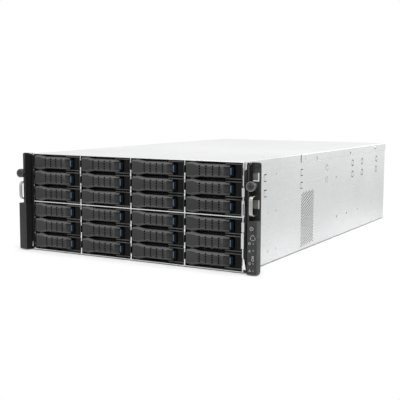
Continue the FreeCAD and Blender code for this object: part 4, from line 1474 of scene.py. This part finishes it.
@dataclass
class RackEar:
    """Front dress of one rack ear: moulded cover, pull handle and thumbscrew."""

    inner: float = 216.5
    shoulder: float = 225.2
    outer: float = 241.3
    back: float = -2.0
    front: float = -15.0
    wall: float = 2.0
    rim: float = 2.3
    box_top: float = 84.5
    top: float = 176.0
    corner: float = 8.0
    slot: tuple[float, float, float, float] = (227.2, 238.4, 146.2, 160.0)
    window: tuple[float, float, float, float] = (227.8, 238.8, 103.0, 117.0)
    hole_x: float = 232.55
    knob_z: float = 139.7
    knob_front: float = -21.5
    knob_length: float = 6.0
    knob_radius: float = 7.8
    knob_rib: int = 5
    wall_face: float = 213.8
    leg: tuple[float, float] = (213.82, 215.0)
    # Heights, notches, depth and edge of the strip of painted shade before the left wall's front edge.
    strip_span: tuple[float, float] = (3.0, 173.0)
    strip_notches: tuple[float, ...] = (30.4, 58.6, 88.6, 117.5, 145.7)
    strip_depth: tuple[float, float] = (-7.3, -6.1)
    strip_edge: float = -211.9
    strip_notch: tuple[float, float, float] = (-213.4, -211.0, 1.4)
    stem: tuple[tuple[str, float, float, float], ...] = (
        ("collar", -8.9, 4.6, 13.2), ("neck", -1.0, 3.3, 2.6), ("shank", 5.3, 3.0, 10.0),
    )
    upper_gusset: tuple[Triple, Triple, float] = ((213.9, -2.9, 163.0), (226.5, -2.05, 175.6), -11.2)
    lower_gusset: tuple[Triple, Triple, float] = ((213.9, -6.6, 4.7), (215.6, -2.05, 22.0), 3.2)
    handle_z: float = 108.4
    handle_front: float = -20.5
    handle_half: float = 2.9
    buttons: tuple[tuple[float, float, float], ...] = ((232.7, 73.1, 4.15), (234.4, 57.9, 2.35))
    lights: tuple[tuple[float, float], ...] = ((235.6, 49.4), (235.3, 38.6), (235.4, 17.8), (235.6, 6.4))

    def cover(self, with_controls: bool) -> Piece:
        """Model the right cover: a hollow slanted box below and a slanted wall above.

        Args:
            with_controls: whether it is bored for buttons and light pipes.
        Returns:
            The cover.
        """
        box = Bench.box("ear_box", (self.inner, self.front, 0.0), (self.outer, self.back, self.box_top))
        slant = (self.shoulder - self.inner, 0, 0)
        Bench.shift(box, lambda v: v.x < self.inner + 0.1 and v.y < self.front + 0.1, slant)
        Bench.bevel_edges(box, lambda v: v.y < self.front + 0.1, 1.0, 3)
        Bench.edit(box, Pick.FACES, lambda m: m.y > self.back - 0.1)
        bpy.ops.mesh.delete(type="FACE")
        Bench.done()
        Bench.thicken(box, self.wall)
        if with_controls:
            cutters = [Bench.rod("bore", (x, self.front, z), r, 8.0, Along.Y, 40) for x, z, r in self.buttons]
            cutters += [Bench.rod("bore", (x, self.front, z), 1.3, 8.0, Along.Y, 20) for x, z in self.lights]
            Bench.combine(box, cutters)
        left, top = self.inner, self.top
        wall = Bench.box("ear_wall", (left, self.front, self.box_top), (left + self.rim, self.back, top))
        Bench.shift(wall, lambda v: v.y < self.front + 0.1, slant)
        x, y, z = left + self.corner, (self.front + self.back) / 2, top - self.corner
        corner = Bench.box("corner", (left - 2, self.front - 1, z), (x, self.back + 1, top + 2))
        quarter = Bench.rod("quarter", (x, y, z), self.corner, 30.0, Along.Y, 48)
        Bench.combine(corner, [quarter])
        Bench.combine(wall, [corner])
        Bench.bevel_edges(wall, lambda v: v.y < self.front + 0.1 and v.z > self.top - 0.1, 9.0, 6, 0)
        Bench.soften(wall, 0.4, 2, 40.0)
        Bench.smooth(box)
        cover = Bench.join([box, wall])
        EAR_PLASTIC.put_on(cover)
        # The slanted inner faces of the moulding take the near-black finish and render darker than its front.
        BLACK_AND_PAINTED_SHADE.tint(
            cover, lambda m: self.front + 0.5 < m.y < self.back - 0.5 and m.x < self.shoulder + 0.5
        )
        return cover

    def painted_shade_strip(self) -> Piece:
        """Model the near-black strip before the left wall's front edge, notched between the trays: painted shade
        that hides the bright edges of the wall and the outer divider in the gap by the left ear.

        Returns:
            The strip.
        """
        low, high = self.strip_span
        near, far = self.strip_depth
        dark_strip = Bench.box("left_edge_trim", (-self.inner + 0.1, near, low), (self.strip_edge, far, high))
        Bench.bevel_edges(dark_strip, lambda v: v.y < near + 0.1, 0.4, 2, 2)
        left, right, half = self.strip_notch
        notches = [
            Bench.box("notch", (left, near - 1.7, z - half), (right, far + 1.1, z + half))
            for z in self.strip_notches
        ]
        Bench.combine(dark_strip, notches)
        Bench.smooth(dark_strip, 20.0)
        BLACK_AND_PAINTED_SHADE.put_on(dark_strip)
        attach(dark_strip, "chassis")
        return dark_strip

    def handle(self) -> Piece:
        """Model the right handle, a strip bent to a U.

        Returns:
            The handle.
        """
        x = self.hole_x
        strip = Bench.box(
            "handle",
            (x - self.handle_half, self.handle_front, self.handle_z - 16.5),
            (x + self.handle_half, self.back, self.handle_z + 16.5),
        )
        Bench.bevel_edges(strip, lambda v: v.y < self.handle_front + 0.1, 7.5, 7, 0)
        Bench.edit(
            strip, Pick.FACES, lambda m: m.y > self.back - 0.1 or abs(m.x - x) > self.handle_half - 0.1
        )
        bpy.ops.mesh.delete(type="FACE")
        Bench.done()
        Bench.thicken(strip, 2.2)
        Bench.soften(strip, 0.5, 3, 50.0)
        HANDLE.put_on(strip)
        return strip

    def thumbscrew(self) -> Piece:
        """Model the right thumbscrew with its ribbed knob, dished face and shank.

        Returns:
            The thumbscrew.
        """
        x, z, front = self.hole_x, self.knob_z, self.knob_front
        middle = front + self.knob_length / 2
        knob = Bench.rod("thumbscrew", (x, middle, z), self.knob_radius, self.knob_length, Along.Y, 72)
        Bench.bevel_edges(knob, lambda v: v.y < front + 0.1, 0.6, 3)
        Bench.edit(
            knob,
            Pick.FACES,
            lambda m: front + 1.0 < m.y < front + 5.7
            and int(math.degrees(math.atan2(m.z - z, m.x - x)) // self.knob_rib) % 2 == 0,
        )
        bpy.ops.mesh.inset(thickness=0.12 * MM, depth=-0.35 * MM, use_individual=True)
        Bench.done()
        Bench.edit(knob, Pick.FACES, lambda m: m.y < front + 0.1)
        bpy.ops.mesh.inset(thickness=1.0 * MM, depth=0.0)
        bpy.ops.transform.translate(value=(0.0, 0.8 * MM, 0.0))
        Bench.done()
        cross = [
            Bench.box("cross", (x - wide, front - 0.5, z - tall), (x + wide, front + 2.3, z + tall))
            for wide, tall in ((3.4, 0.7), (0.7, 3.4))
        ]
        Bench.combine(cross[0], [cross[1]], "UNION")
        Bench.combine(knob, [cross[0]])
        Bench.smooth(knob, 25.0)
        collar, neck, shank = (
            Bench.rod(name, (x, y, z), radius, length, Along.Y, 40 if name == "collar" else 32)
            for name, y, radius, length in self.stem
        )
        Bench.bevel_edges(shank, lambda v: v.y > 10.2, 0.8, 2)
        for part in (collar, neck, shank):
            Bench.smooth(part)
        KNOB.put_on(knob)
        POWDER.put_on(collar, neck)
        SCREW.put_on(shank)
        return Bench.join([knob, collar, neck, shank])

    def bracket(self) -> Piece:
        """Model the right steel flange with its slot, window, screw hole and wall leg.

        Returns:
            The bracket.
        """
        plate = Bench.box("ear_flange_right", (self.wall_face, self.back, 0.0), (self.outer, 0.0, self.top))
        Bench.bevel_edges(plate, lambda v: v.x > self.outer - 0.1, 3.5, 5, 1)
        tools = [
            Bench.box("slot", (self.slot[0], -3, self.slot[2]), (self.slot[1], 1, self.slot[3])),
            Bench.box("window", (self.window[0], -3, self.window[2]), (self.window[1], 1, self.window[3])),
            Bench.rod("bore", (self.hole_x, -1.0, self.knob_z), 3.6, 6.0, Along.Y, 32),
        ]
        for tool in tools[:2]:
            Bench.bevel_edges(tool, lambda v: True, 0.8, 3, 1)
        Bench.combine(plate, tools)
        leg = Bench.box("leg", (self.leg[0], self.back + 0.1, 0.1), (self.leg[1], 14.0, 174.6))
        Bench.combine(plate, [leg], "UNION")
        Bench.smooth(plate)
        POWDER.put_on(plate)
        return plate

    def painted_light_plates(self) -> Piece:
        """Model the thin grey-beige plates that lie in the slot and the window: painted light for the surfaces
        seen through the openings.

        Returns:
            The plates, as one object.
        """
        x0, x1, z0, z1 = self.slot
        upper = Bench.box("ear_liner_right", (x0 - 0.2, -1.3, z0 + 1.6), (x1 - 2.6, -0.3, z1 + 0.2))
        x0, x1, z0, z1 = self.window
        lower = Bench.box("liner", (x0 - 0.2, -1.3, z0 - 0.2), (x1 - 1.9, -0.3, z1 + 0.2))
        for part in (upper, lower):
            Bench.soften(part, 0.15, 1)
        plates = Bench.join([upper, lower])
        OPENING_PAINTED_LIGHT.put_on(plates)
        return plates

    def gussets(self) -> Piece:
        """Model the bright corner plates at the top and bottom of the gap beside the wall.

        Returns:
            The plates, as one object.
        """
        parts = []
        for name, (low, high, slant) in (
            ("ear_gussets_right", self.upper_gusset), ("gusset", self.lower_gusset),
        ):
            part = Bench.box(name, low, high)
            Bench.shift(part, lambda v: v.x > high[0] - 0.5 and v.z < low[2] + 0.3, (slant, 0, 0))
            Bench.soften(part, 0.12, 1)
            parts.append(part)
        plates = Bench.join(parts)
        CHROMATE.put_on(plates)
        return plates

    def build(self) -> None:
        """Make both ears."""
        sets = (
            ("bracket", self.bracket(), "black_steel"),
            ("painted_light_plates", self.painted_light_plates(), "black_plastic"),
            ("gussets", self.gussets(), "zinc_steel"),
        )
        for kind, piece, slot in sets:
            twin = Bench.mirror(piece, piece.name.replace("right", "left"))
            for side, made in (("right", piece), ("left", twin)):
                if kind == "bracket":
                    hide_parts(f"ear_bracket_{side}")
                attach(made, "chassis")
        self.painted_shade_strip()
        right = self.cover(True)
        plain = self.cover(False)
        left = Bench.mirror(plain, "ear_moulding_left")
        Bench.drop(plain)
        right.name = "ear_moulding_right"
        for side, cover in (("right", right), ("left", left)):
            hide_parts(f"ear_cover_{side}")
            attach(cover, "chassis")
        handle = self.handle()
        handle.name = "pull_handle_right"
        other = Bench.mirror(handle, "pull_handle_left")
        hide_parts("pull_handles")
        for piece in (handle, other):
            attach(piece, "chassis")
        screw = self.thumbscrew()
        screw.name = "ribbed_screw_right"
        twin = Bench.mirror(screw, "ribbed_screw_left")
        for side, piece in (("right", screw), ("left", twin)):
            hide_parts(f"thumbscrew_{side}")
            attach(piece, f"thumbscrew_{side}")
        log.info("rack ears: two covers, handles and thumbscrews")


@dataclass
class Tub:
    """Folded steel tub: floor, side walls, vents, bridges, knock-outs, holes and front tabs."""

    outer: float = 213.8
    sheet: float = 1.2
    front: float = -6.0
    back: float = 741.6
    top: float = 174.8
    flange: float = 10.0
    flange_start: float = 179.6
    vent: tuple[float, float, float, float] = (231.0, 294.0, 5.0, 110.5)
    vent_pitch: float = 5.5
    vent_slant: float = 0.36
    vent_radius: float = 1.85
    dots: tuple[tuple[float, float], ...] = (
        (87.0, 86.0), (119.0, 86.0), (87.0, 20.0), (119.0, 20.5), (118.0, 149.0), (415.0, 121.0),
        (552.0, 41.0),
    )
    rail_holes: tuple[tuple[float, float], ...] = ((422.0, 40.0), (482.0, 40.0))
    bridges: tuple[tuple[float, float], ...] = ((73.5, 145.0), (74.5, 119.0), (232.0, 143.0), (232.0, 119.5))
    rail_hole_radius: float = 2.1
    dot_radius: float = 1.7
    bridge_length: float = 13.0
    bridge_height: float = 9.4
    bridge_rise: float = 1.0
    bridge_slope: float = 2.6
    slit: float = 1.5
    knockout_rows: tuple[float, ...] = (143.0, 119.5)
    knockout_places: tuple[float, ...] = (361.0, 514.0, 577.0, 679.0)
    knockout_radii: tuple[float, float] = (7.1, 5.3)
    seam: tuple[float, float, float] = (228.4, 159.7, 161.0)
    tabs: tuple[tuple[float, float, float], ...] = (
        (121.5, 135.5, -9.2), (88.8, 115.3, -9.2), (65.4, 81.0, -9.2), (39.0, 63.9, -10.4),
    )
    tab_span: tuple[float, float] = (211.9, 216.6)
    tab_window: tuple[float, float, float, float] = (213.1, 215.4, 92.2, 110.3)

    def build(self) -> None:
        """Model the tub."""
        inner = self.outer - self.sheet
        tub = Bench.box("side_walls_and_floor", (-self.outer, self.front, 0.0), (self.outer, self.back, self.top))
        room = Bench.box("room", (-inner, self.front - 1, self.sheet), (inner, self.back + 1, self.top + 1))
        Bench.combine(tub, [room])
        Bench.combine(tub, self.additions(inner), "UNION")
        Bench.combine(tub, self.cutters())
        Bench.smooth(tub, 12.0)
        ZINC.put_on(tub)
        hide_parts("chassis_base")
        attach(tub, "chassis")
        log.info("tub: %d faces", len(tub.data.polygons))

    def additions(self, inner: float) -> list[Piece]:
        """Make the flanges, the raised bridges and the forward tabs of both walls.

        Args:
            inner: distance of a wall's inner face from the centreline.
        Returns:
            The pieces.
        """
        parts = []
        for side in (-1, 1):
            ends = sorted((side * (inner - self.flange), side * (inner + 0.2)))
            low = self.top - self.sheet
            parts.append(Bench.box("flange", (ends[0], self.flange_start, low), (ends[1], self.back, self.top)))
            for low, high, reach in self.tabs if side > 0 else ():
                ends = sorted((side * (inner + 0.02), side * (self.outer - 0.02)))
                parts.append(
                    Bench.box("web", (ends[0], reach + 0.5, low + 0.8), (ends[1], self.front + 0.5, high - 0.8))
                )
                ends = sorted((side * self.tab_span[0], side * self.tab_span[1]))
                tab = Bench.box("tab", (ends[0], reach, low), (ends[1], reach + 1.1, high))
                Bench.bevel_edges(tab, lambda v: True, 0.7, 2, 1)
                near, far, base, top = self.tab_window
                if low < base < high:
                    ends = sorted((side * near, side * far))
                    window = Bench.box("window", (ends[0], reach - 1, base), (ends[1], reach + 2, top))
                    Bench.combine(tab, [window])
                parts.append(tab)
            for y, z in self.bridges:
                half, tall = self.bridge_length / 2, self.bridge_height / 2
                ends = sorted((side * (self.outer - 0.4), side * (self.outer + self.bridge_rise)))
                bridge = Bench.box("bridge", (ends[0], y - half, z - tall), (ends[1], y + half, z + tall))
                face = side * (self.outer + self.bridge_rise)
                for end in (-1, 1):
                    Bench.shift(
                        bridge,
                        lambda v, e=end, f=face: abs(v.x - f) < 0.1 and (v.y - y) * e > 0,
                        (0, -self.bridge_slope * end, 0),
                    )
                parts.append(bridge)
        return parts

    def cutters(self) -> list[Piece]:
        """Make the tools that cut the vents, holes, slits, knock-outs and seams of both walls.

        Returns:
            The tools.
        """
        tools = []
        start, end, low, high = self.vent
        column_step = self.vent_pitch * math.sqrt(3) / 2
        columns = int((end - start) / column_step)
        rows = int((high - low) / self.vent_pitch)
        reach = self.outer * 2 + 4
        radius = self.vent_radius
        first = Bench.rod("bore", (0, start + column_step / 2, low + radius), radius, reach, Along.X, 6)
        for column in range(columns):
            rise = (column * self.vent_slant % 1.0) * self.vent_pitch
            for row in range(rows - 1):
                tools.append(Bench.copy(first, "bore", (0, column * column_step, rise + row * self.vent_pitch)))
        Bench.drop(first)
        for y, z in self.rail_holes:
            tools.append(Bench.rod("bore", (0, y, z), self.rail_hole_radius, reach, Along.X, 20))
        for y, z in self.dots:
            tools.append(Bench.rod("bore", (0, y, z), self.dot_radius, reach, Along.X, 14))
        for y, z in self.bridges:
            for side in (-1, 1):
                middle = z + side * (self.bridge_height + self.slit) / 2
                along, up = self.bridge_length / 2 - 1.0, self.slit / 2
                ends = ((-reach / 2, y - along, middle - up), (reach / 2, y + along, middle + up))
                tools.append(Bench.box("slit", *ends))
        tools += self.knockouts(reach)
        start, low, high = self.seam
        for side in (-1, 1):
            ends = sorted((side * (self.outer - 0.9), side * (self.outer + 1)))
            tools.append(Bench.box("seam", (ends[0], start, low), (ends[1], self.back + 1, high)))
        return tools

    def knockouts(self, reach: float) -> list[Piece]:
        """Make the ring cutters that leave a round disc held by two webs.

        Args:
            reach: length of a cutter through both walls.
        Returns:
            The tools.
        """
        y, z = self.knockout_places[0], self.knockout_rows[0]
        ring = Bench.rod("ring", (0, y, z), self.knockout_radii[0], reach, Along.X, 28)
        core = Bench.rod("core", (0, y, z), self.knockout_radii[1], reach + 4, Along.X, 28)
        webs = Bench.box("webs", (-reach, y - 8, z - 0.7), (reach, y + 8, z + 0.7))
        Bench.combine(core, [webs], "UNION")
        Bench.combine(ring, [core])
        rings = []
        for place in self.knockout_places:
            for row in self.knockout_rows:
                rings.append(Bench.copy(ring, "ring", (0, place - y, row - z)))
        Bench.drop(ring)
        return rings


@dataclass
class TopCover:
    """Sliding cover with bevelled lips, slits, notches and closing screws, and the fixed front panel."""

    half: float = 215.0
    sheet: float = 1.0
    front: float = -6.0
    seam: float = 228.0
    back: float = 744.0
    under: float = 174.8
    top: float = 176.0
    lip: float = 161.0
    rear_lip: float = 168.0
    notches: tuple[float, ...] = (297.0, 487.0)
    slit: tuple[float, float] = (246.0, 168.0)
    screw: tuple[float, float] = (666.0, 168.5)
    panel_half: float = 213.8
    panel_screws: tuple[float, ...] = (-190.0, -65.0, 65.0, 190.0)
    panel_screw_y: float = 216.0

    def cover(self) -> Piece:
        """Model the cover.

        Returns:
            The cover.
        """
        start = self.seam + 0.2
        cover = Bench.box("sliding_cover", (-self.half, start, self.lip), (self.half, self.back, self.top))
        inner, low = self.half - self.sheet, self.lip - 1
        room = Bench.box("room", (-inner, start - 1, low), (inner, self.back - self.sheet, self.top - self.sheet))
        short = Bench.box("short", (-inner, start - 1, low), (inner, self.back + 1, self.rear_lip))
        Bench.bevel_edges(cover, lambda v: abs(v.x) > self.half - 0.1 and v.z > self.top - 0.1, 0.9, 3, 1)
        Bench.bevel_edges(cover, lambda v: v.y < start + 0.1 and v.z < self.top - 1, 0.4, 2, 2)
        Bench.combine(cover, [room])
        Bench.combine(cover, [short])
        reach = self.half + 3
        y, z = self.slit
        tools = [
            Bench.box("slit", (-reach, y - 0.7, z - 2.6), (reach, y + 0.7, z + 2.6)),
            Bench.rod("bore", (0, *self.screw), 2.1, reach * 2, Along.X, 20),
        ]
        for place in self.notches:
            high = self.lip + 6.6
            tools.append(Bench.box("post", (-reach, place + 7.0, low), (reach, place + 9.6, high)))
            tools.append(Bench.box("arm", (-reach, place - 1.0, high - 2.0), (reach, place + 8.0, high)))
        for tool in tools:
            Bench.combine(cover, [tool])
        Bench.smooth(cover, 12.0)
        return cover

    def closing_screw(self) -> Piece:
        """Model the right closing screw with its cross recess.

        Returns:
            The screw.
        """
        y, z = self.screw
        head = Bench.rod("closing_screw", (self.half + 0.85, y, z), 3.6, 1.5, Along.X, 36)
        Bench.bevel_edges(head, lambda v: v.x > self.half + 1.5, 0.7, 3)
        for tall, wide in ((2.2, 0.4), (0.4, 2.2)):
            recess = Bench.box(
                "recess", (self.half + 0.9, y - wide, z - tall), (self.half + 2.0, y + wide, z + tall)
            )
            Bench.combine(head, [recess])
        shank = Bench.rod("shank", (self.half - 0.45, y, z), 1.95, 1.1, Along.X, 24)
        for part in (head, shank):
            Bench.smooth(part)
        return Bench.join([head, shank])

    def build(self) -> None:
        """Model the cover, its screws and the fixed panel in front of it."""
        cover = self.cover()
        TOP_SHEET.put_on(cover)
        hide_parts("top_cover")
        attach(cover, "top_cover")
        screw = self.closing_screw()
        twin = Bench.mirror(screw, "closing_screw_left")
        SCREW.put_on(screw, twin)
        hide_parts("cover_screws")
        for piece in (screw, twin):
            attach(piece, "top_cover")
        half, y, top = self.panel_half, self.panel_screw_y, self.top
        panel = Bench.box("fixed_front_panel", (-half, self.front, self.under), (half, self.seam, top))
        Bench.bevel_edges(panel, lambda v: v.z > top - 0.1 and v.y < self.front + 0.1, 0.8, 3, 0)
        Bench.bevel_edges(panel, lambda v: v.z > top - 0.1 and abs(v.x) > half - 0.2, 0.6, 2, 1)
        holes = [Bench.cone("sink", (x, y, top - 0.55), (2.0, 3.6), 1.2, Along.Z, 28) for x in self.panel_screws]
        Bench.combine(panel, holes)
        Bench.smooth(panel)
        TOP_SHEET.put_on(panel)
        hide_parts("front_top_panel")
        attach(panel, "chassis")
        heads = []
        for x in self.panel_screws:
            head = Bench.cone("head", (x, y, top - 0.62), (1.9, 3.4), 1.0, Along.Z, 28)
            for long, wide in ((1.9, 0.35), (0.35, 1.9)):
                recess = Bench.box("recess", (x - long, y - wide, top - 0.6), (x + long, y + wide, top + 1))
                Bench.combine(head, [recess])
            heads.append(head)
        heads = Bench.join(heads)
        heads.name = "panel_screws"
        Bench.smooth(heads)
        SCREW.put_on(heads)
        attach(heads, "chassis")
        log.info("top cover, fixed panel and screws")


@dataclass
class RearPlate:
    """Rear sheet with its honeycomb, board window, slots and power supply bay, and the slot screws."""

    half: float = 213.8
    near: float = 741.6
    far: float = 742.8
    top: float = 174.8
    window: tuple[float, float, float, float] = (-36.25, 122.5, 7.0, 51.45)
    bay: tuple[float, float, float, float] = (135.3, 209.6, 2.2, 82.8)
    slot_first: float = -56.83
    slot_pitch: float = 20.32
    slot_count: int = 7
    slot_half: float = 7.5
    slot_span: tuple[float, float] = (12.0, 118.0)
    honeycomb: tuple[float, float, float, float] = (-36.0, 122.0, 74.0, 123.0)
    cell_pitch: float = 7.2
    cell_radius: float = 3.6

    def opening(self, place: tuple[float, float, float, float]) -> Piece:
        """Make a tool that cuts one rectangle through the sheet.

        Args:
            place: left, right, lower and upper edge.
        Returns:
            The tool.
        """
        left, right, low, high = place
        return Bench.box("opening", (left, self.near - 1, low), (right, self.far + 1, high))

    def cells(self) -> list[Piece]:
        """Make the six-sided tools of the honeycomb, alternate rows half a pitch along.

        Returns:
            The tools.
        """
        left, right, low, high = self.honeycomb
        row_step = self.cell_pitch * math.sqrt(3) / 2
        middle = (self.near + self.far) / 2
        first = Bench.rod(
            "cell", (left + self.cell_radius, middle, low + self.cell_radius), self.cell_radius, 3.0, Along.Y, 6
        )
        cells = []
        for row in range(int((high - low) / row_step)):
            offset = self.cell_pitch / 2 if row % 2 else 0.0
            for column in range(int((right - left - offset) / self.cell_pitch)):
                cells.append(Bench.copy(first, "cell", (offset + column * self.cell_pitch, 0, row * row_step)))
        Bench.drop(first)
        return cells

    def build(self) -> None:
        """Model the sheet and the screws above its slots."""
        plate = Bench.box("rear_sheet", (-self.half, self.near, 0.0), (self.half, self.far, self.top))
        tools = [self.opening(self.window), self.opening(self.bay)]
        centres = [self.slot_first - index * self.slot_pitch for index in range(self.slot_count)]
        for x in centres:
            tools.append(self.opening((x - self.slot_half, x + self.slot_half, *self.slot_span)))
        Bench.combine(plate, tools)
        Bench.combine(plate, self.cells())
        Bench.smooth(plate, 12.0)
        ZINC.put_on(plate)
        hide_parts("rear_panel")
        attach(plate, "chassis")
        heads = []
        y, z = self.far, self.slot_span[1] + 3.6
        for x in centres:
            head = Bench.rod("head", (x, y + 0.5, z), 2.6, 1.1, Along.Y, 24)
            Bench.bevel_edges(head, lambda v: v.y > y + 1.0, 0.4, 2)
            bar = Bench.box("recess", (x - 1.7, y + 0.6, z - 0.3), (x + 1.7, y + 2, z + 0.3))
            Bench.combine(head, [bar])
            Bench.smooth(head)
            heads.append(head)
        heads = Bench.join(heads)
        heads.name = "slot_screws"
        SCREW.put_on(heads)
        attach(heads, "chassis")
        log.info("rear sheet: %d faces", len(plate.data.polygons))


@dataclass
class PowerSupply:
    """Plug-in supply: case, mains inlet with pins, exhaust recess with wire guard, and bail handle."""

    low: Triple = (135.7, 557.8, 2.6)
    high: Triple = (209.2, 742.8, 41.6)
    rise: float = 40.8
    inlet_x: float = 152.7
    fan_x: float = 189.2
    fan_radius: float = 14.0
    well_size: Triple = (14.0, 15.0, 10.5)
    blade_count: int = 7
    wire: float = 0.9
    slit_count: int = 8
    slit_step: float = 3.0
    guard_radii: tuple[float, ...] = (13.0, 9.8, 6.6, 3.4)
    handle_x: tuple[float, float] = (171.2, 175.2)
    handle_back: float = 766.8

    def case(self, middle: float) -> Piece:
        """Model the case with its inlet well, exhaust recess and side slits.

        Args:
            middle: height of the middle.
        Returns:
            The case.
        """
        case = Bench.box("supply_case", self.low, self.high)
        Bench.bevel_edges(case, lambda v: True, 0.5, 2, 1)
        back, x = self.high[1], self.inlet_x
        wide, deep, tall = self.well_size
        well = Bench.box("well", (x - wide, back - deep, middle - tall), (x + wide, back + 1, middle + tall))
        recess = Bench.rod("recess", (self.fan_x, back - 3, middle), self.fan_radius, 10, Along.Y, 64)
        Bench.combine(case, [well, recess])
        slits, right = [], self.high[0]
        for step in range(self.slit_count):
            z = middle - 10.5 + step * self.slit_step
            slits.append(Bench.box("slit", (right - 5.2, back - 0.8, z), (right - 1.4, back + 1, z + 1.3)))
        Bench.combine(case, slits)
        Bench.smooth(case, 12.0)
        SUPPLY.put_on(case)
        return case

    def inlet(self, middle: float) -> Piece:
        """Model the moulded inlet with its cut lower corners and rim.

        Args:
            middle: height of the middle.
        Returns:
            The inlet.
        """
        back, x = self.high[1], self.inlet_x
        wide, deep, tall = (size - 0.1 for size in self.well_size)
        shell = Bench.box(
            "supply_inlet", (x - wide, back - deep, middle - tall), (x + wide, back + 0.8, middle + tall)
        )
        Bench.bevel_edges(shell, lambda v: v.y > back, 0.6, 2)
        hollow = Bench.box("hollow", (x - 12, back - 13.5, middle - 8.5), (x + 12, back + 2, middle + 8.5))
        Bench.bevel_edges(hollow, lambda v: v.z < middle, 4.0, 1, 1)
        Bench.combine(shell, [hollow])
        Bench.smooth(shell, 20.0)
        INLET.put_on(shell)
        return shell

    def pins(self, middle: float) -> Piece:
        """Model the three pins, the middle one raised.

        Args:
            middle: height of the middle.
        Returns:
            The pins, as one object.
        """
        back = self.high[1]
        parts = []
        for step in (-1, 0, 1):
            x, z = self.inlet_x + step * 7.0, middle + (1.4 if step == 0 else -1.4)
            pin = Bench.box("supply_pins", (x - 1, back - 13.6, z - 2), (x + 1, back - 2.4, z + 2))
            Bench.bevel_edges(pin, lambda v: v.y > back - 3, 0.5, 2)
            Bench.smooth(pin)
            parts.append(pin)
        pins = Bench.join(parts)
        SCREW.put_on(pins)
        return pins

    def rotor(self, middle: float) -> Piece:
        """Model the fan behind the guard, seen as a hub with seven blades.

        Args:
            middle: height of the middle.
        Returns:
            The fan.
        """
        x, y = self.fan_x, self.high[1] - 6.2
        hub = Bench.rod("supply_fan", (x, y, middle), 5.0, 2.6, Along.Y, 32)
        parts = [hub]
        for step in range(self.blade_count):
            blade = Bench.box("blade", (x + 4.6, y - 1.0, middle - 2.4), (x + 13.2, y - 0.4, middle + 2.4))
            Bench.shift(blade, lambda v: v.z > middle, (0, 1.4, 0))
            Bench.turn(blade, math.tau * step / self.blade_count, (x, y, middle))
            parts.append(blade)
        fan = Bench.join(parts)
        Bench.smooth(fan)
        FAN_PLASTIC.put_on(fan)
        return fan

    def guard(self, middle: float) -> Piece:
        """Model the wire guard: round wires held by two crossed bars.

        Args:
            middle: height of the middle.
        Returns:
            The guard.
        """
        x, y, half = self.fan_x, self.high[1] - 0.9, self.wire / 2
        parts = []
        for radius in self.guard_radii:
            ring = Bench.rod("supply_guard", (x, y, middle), radius + half, self.wire, Along.Y, 48)
            bore = Bench.rod("bore", (x, y, middle), radius - half, 3.0, Along.Y, 48)
            Bench.combine(ring, [bore])
            parts.append(ring)
        for turn in (1, 3):
            bar = Bench.box("bar", (x - 13.9, y - 1.3, middle - half), (x + 13.9, y - 0.5, middle + half))
            Bench.turn(bar, math.pi * turn / 4, (x, y, middle))
            parts.append(bar)
        guard = Bench.join(parts)
        Bench.smooth(guard)
        GRILLE.put_on(guard)
        return guard

    def handle(self) -> Piece:
        """Model the bail handle that stands out between the inlet and the exhaust.

        Returns:
            The handle.
        """
        base, reach = self.high[1], self.handle_back
        low, high = self.low[2] + 4.0, self.low[2] + 35.0
        bail = Bench.box("supply_handle", (self.handle_x[0], base - 0.3, low), (self.handle_x[1], reach, high))
        Bench.bevel_edges(bail, lambda v: v.y > reach - 0.1, 9.0, 7, 0)
        left, right = self.handle_x
        gap = Bench.box("gap", (left - 1, base - 1, low + 4), (right + 1, reach - 4, high - 4))
        Bench.bevel_edges(gap, lambda v: v.y > reach - 4.1, 5.4, 6, 0)
        Bench.combine(bail, [gap])
        Bench.soften(bail, 0.9, 2, 40.0)
        Bench.smooth(bail)
        HANDLE.put_on(bail)
        return bail

    def build(self) -> None:
        """Model the lower supply's pieces and copy them into the upper bay."""
        middle = (self.low[2] + self.high[2]) / 2
        parts = {
            "supply_case": (self.case(middle), "supply_steel"),
            "supply_inlet": (self.inlet(middle), "black_plastic"),
            "supply_pins": (self.pins(middle), "screw_steel"),
            "supply_fan": (self.rotor(middle), "fan_plastic"),
            "supply_guard": (self.guard(middle), "supply_steel"),
            "supply_handle": (self.handle(), "supply_steel"),
        }
        for level, body in enumerate(("power_supply_lower", "power_supply_upper")):
            for name, (pattern, slot) in parts.items():
                piece = Bench.copy(pattern, f"{name}_{level + 1}", (0, 0, level * self.rise))
                if name == "supply_case":
                    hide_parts(body)
                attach(piece, body)
        for pattern, _ in parts.values():
            Bench.drop(pattern)
        log.info("power supplies: %d pieces each", len(parts))


class NodeDresser:
    """Gives the solids that stay in view their finishes."""

    finishes: dict[str, Finish] = {
        "bay_mid_shelf": CHROMATE,
        "drive_backplane": BOARD,
        "fan_wall": ZINC,
        "fan_frames": FAN_PLASTIC,
        "fan_rotor_1": FAN_PLASTIC,
        "fan_rotor_2": FAN_PLASTIC,
        "fan_rotor_3": FAN_PLASTIC,
        "slot_covers": SUPPLY,
        "board_standoffs": BRASS,
        "power_supply_cage": ZINC,
        "power_button": BUTTON,
        "reset_button": BUTTON,
        "indicator_lights": LENS,
    }

    def dress(self) -> None:
        """Put each finish on its node."""
        for name, finish in self.finishes.items():
            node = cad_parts[name]
            if not node.hide_render:
                finish.put_on(node)
                log.info("node %s: %s", name, finish.name)


def main() -> None:
    """Build every part in order."""
    logging.basicConfig(level=logging.INFO, format="%(message)s")
    Bench.clear()
    Studio().build()
    grid = BayGrid()
    DriveTray().place(grid)
    BayDividers().build(grid)
    RackEar().build()
    Icons().build()
    Tub().build()
    TopCover().build()
    RearPlate().build()
    PowerSupply().build()
    NodeDresser().dress()
    Bench.clear()


if __name__ == "__main__":
    main()
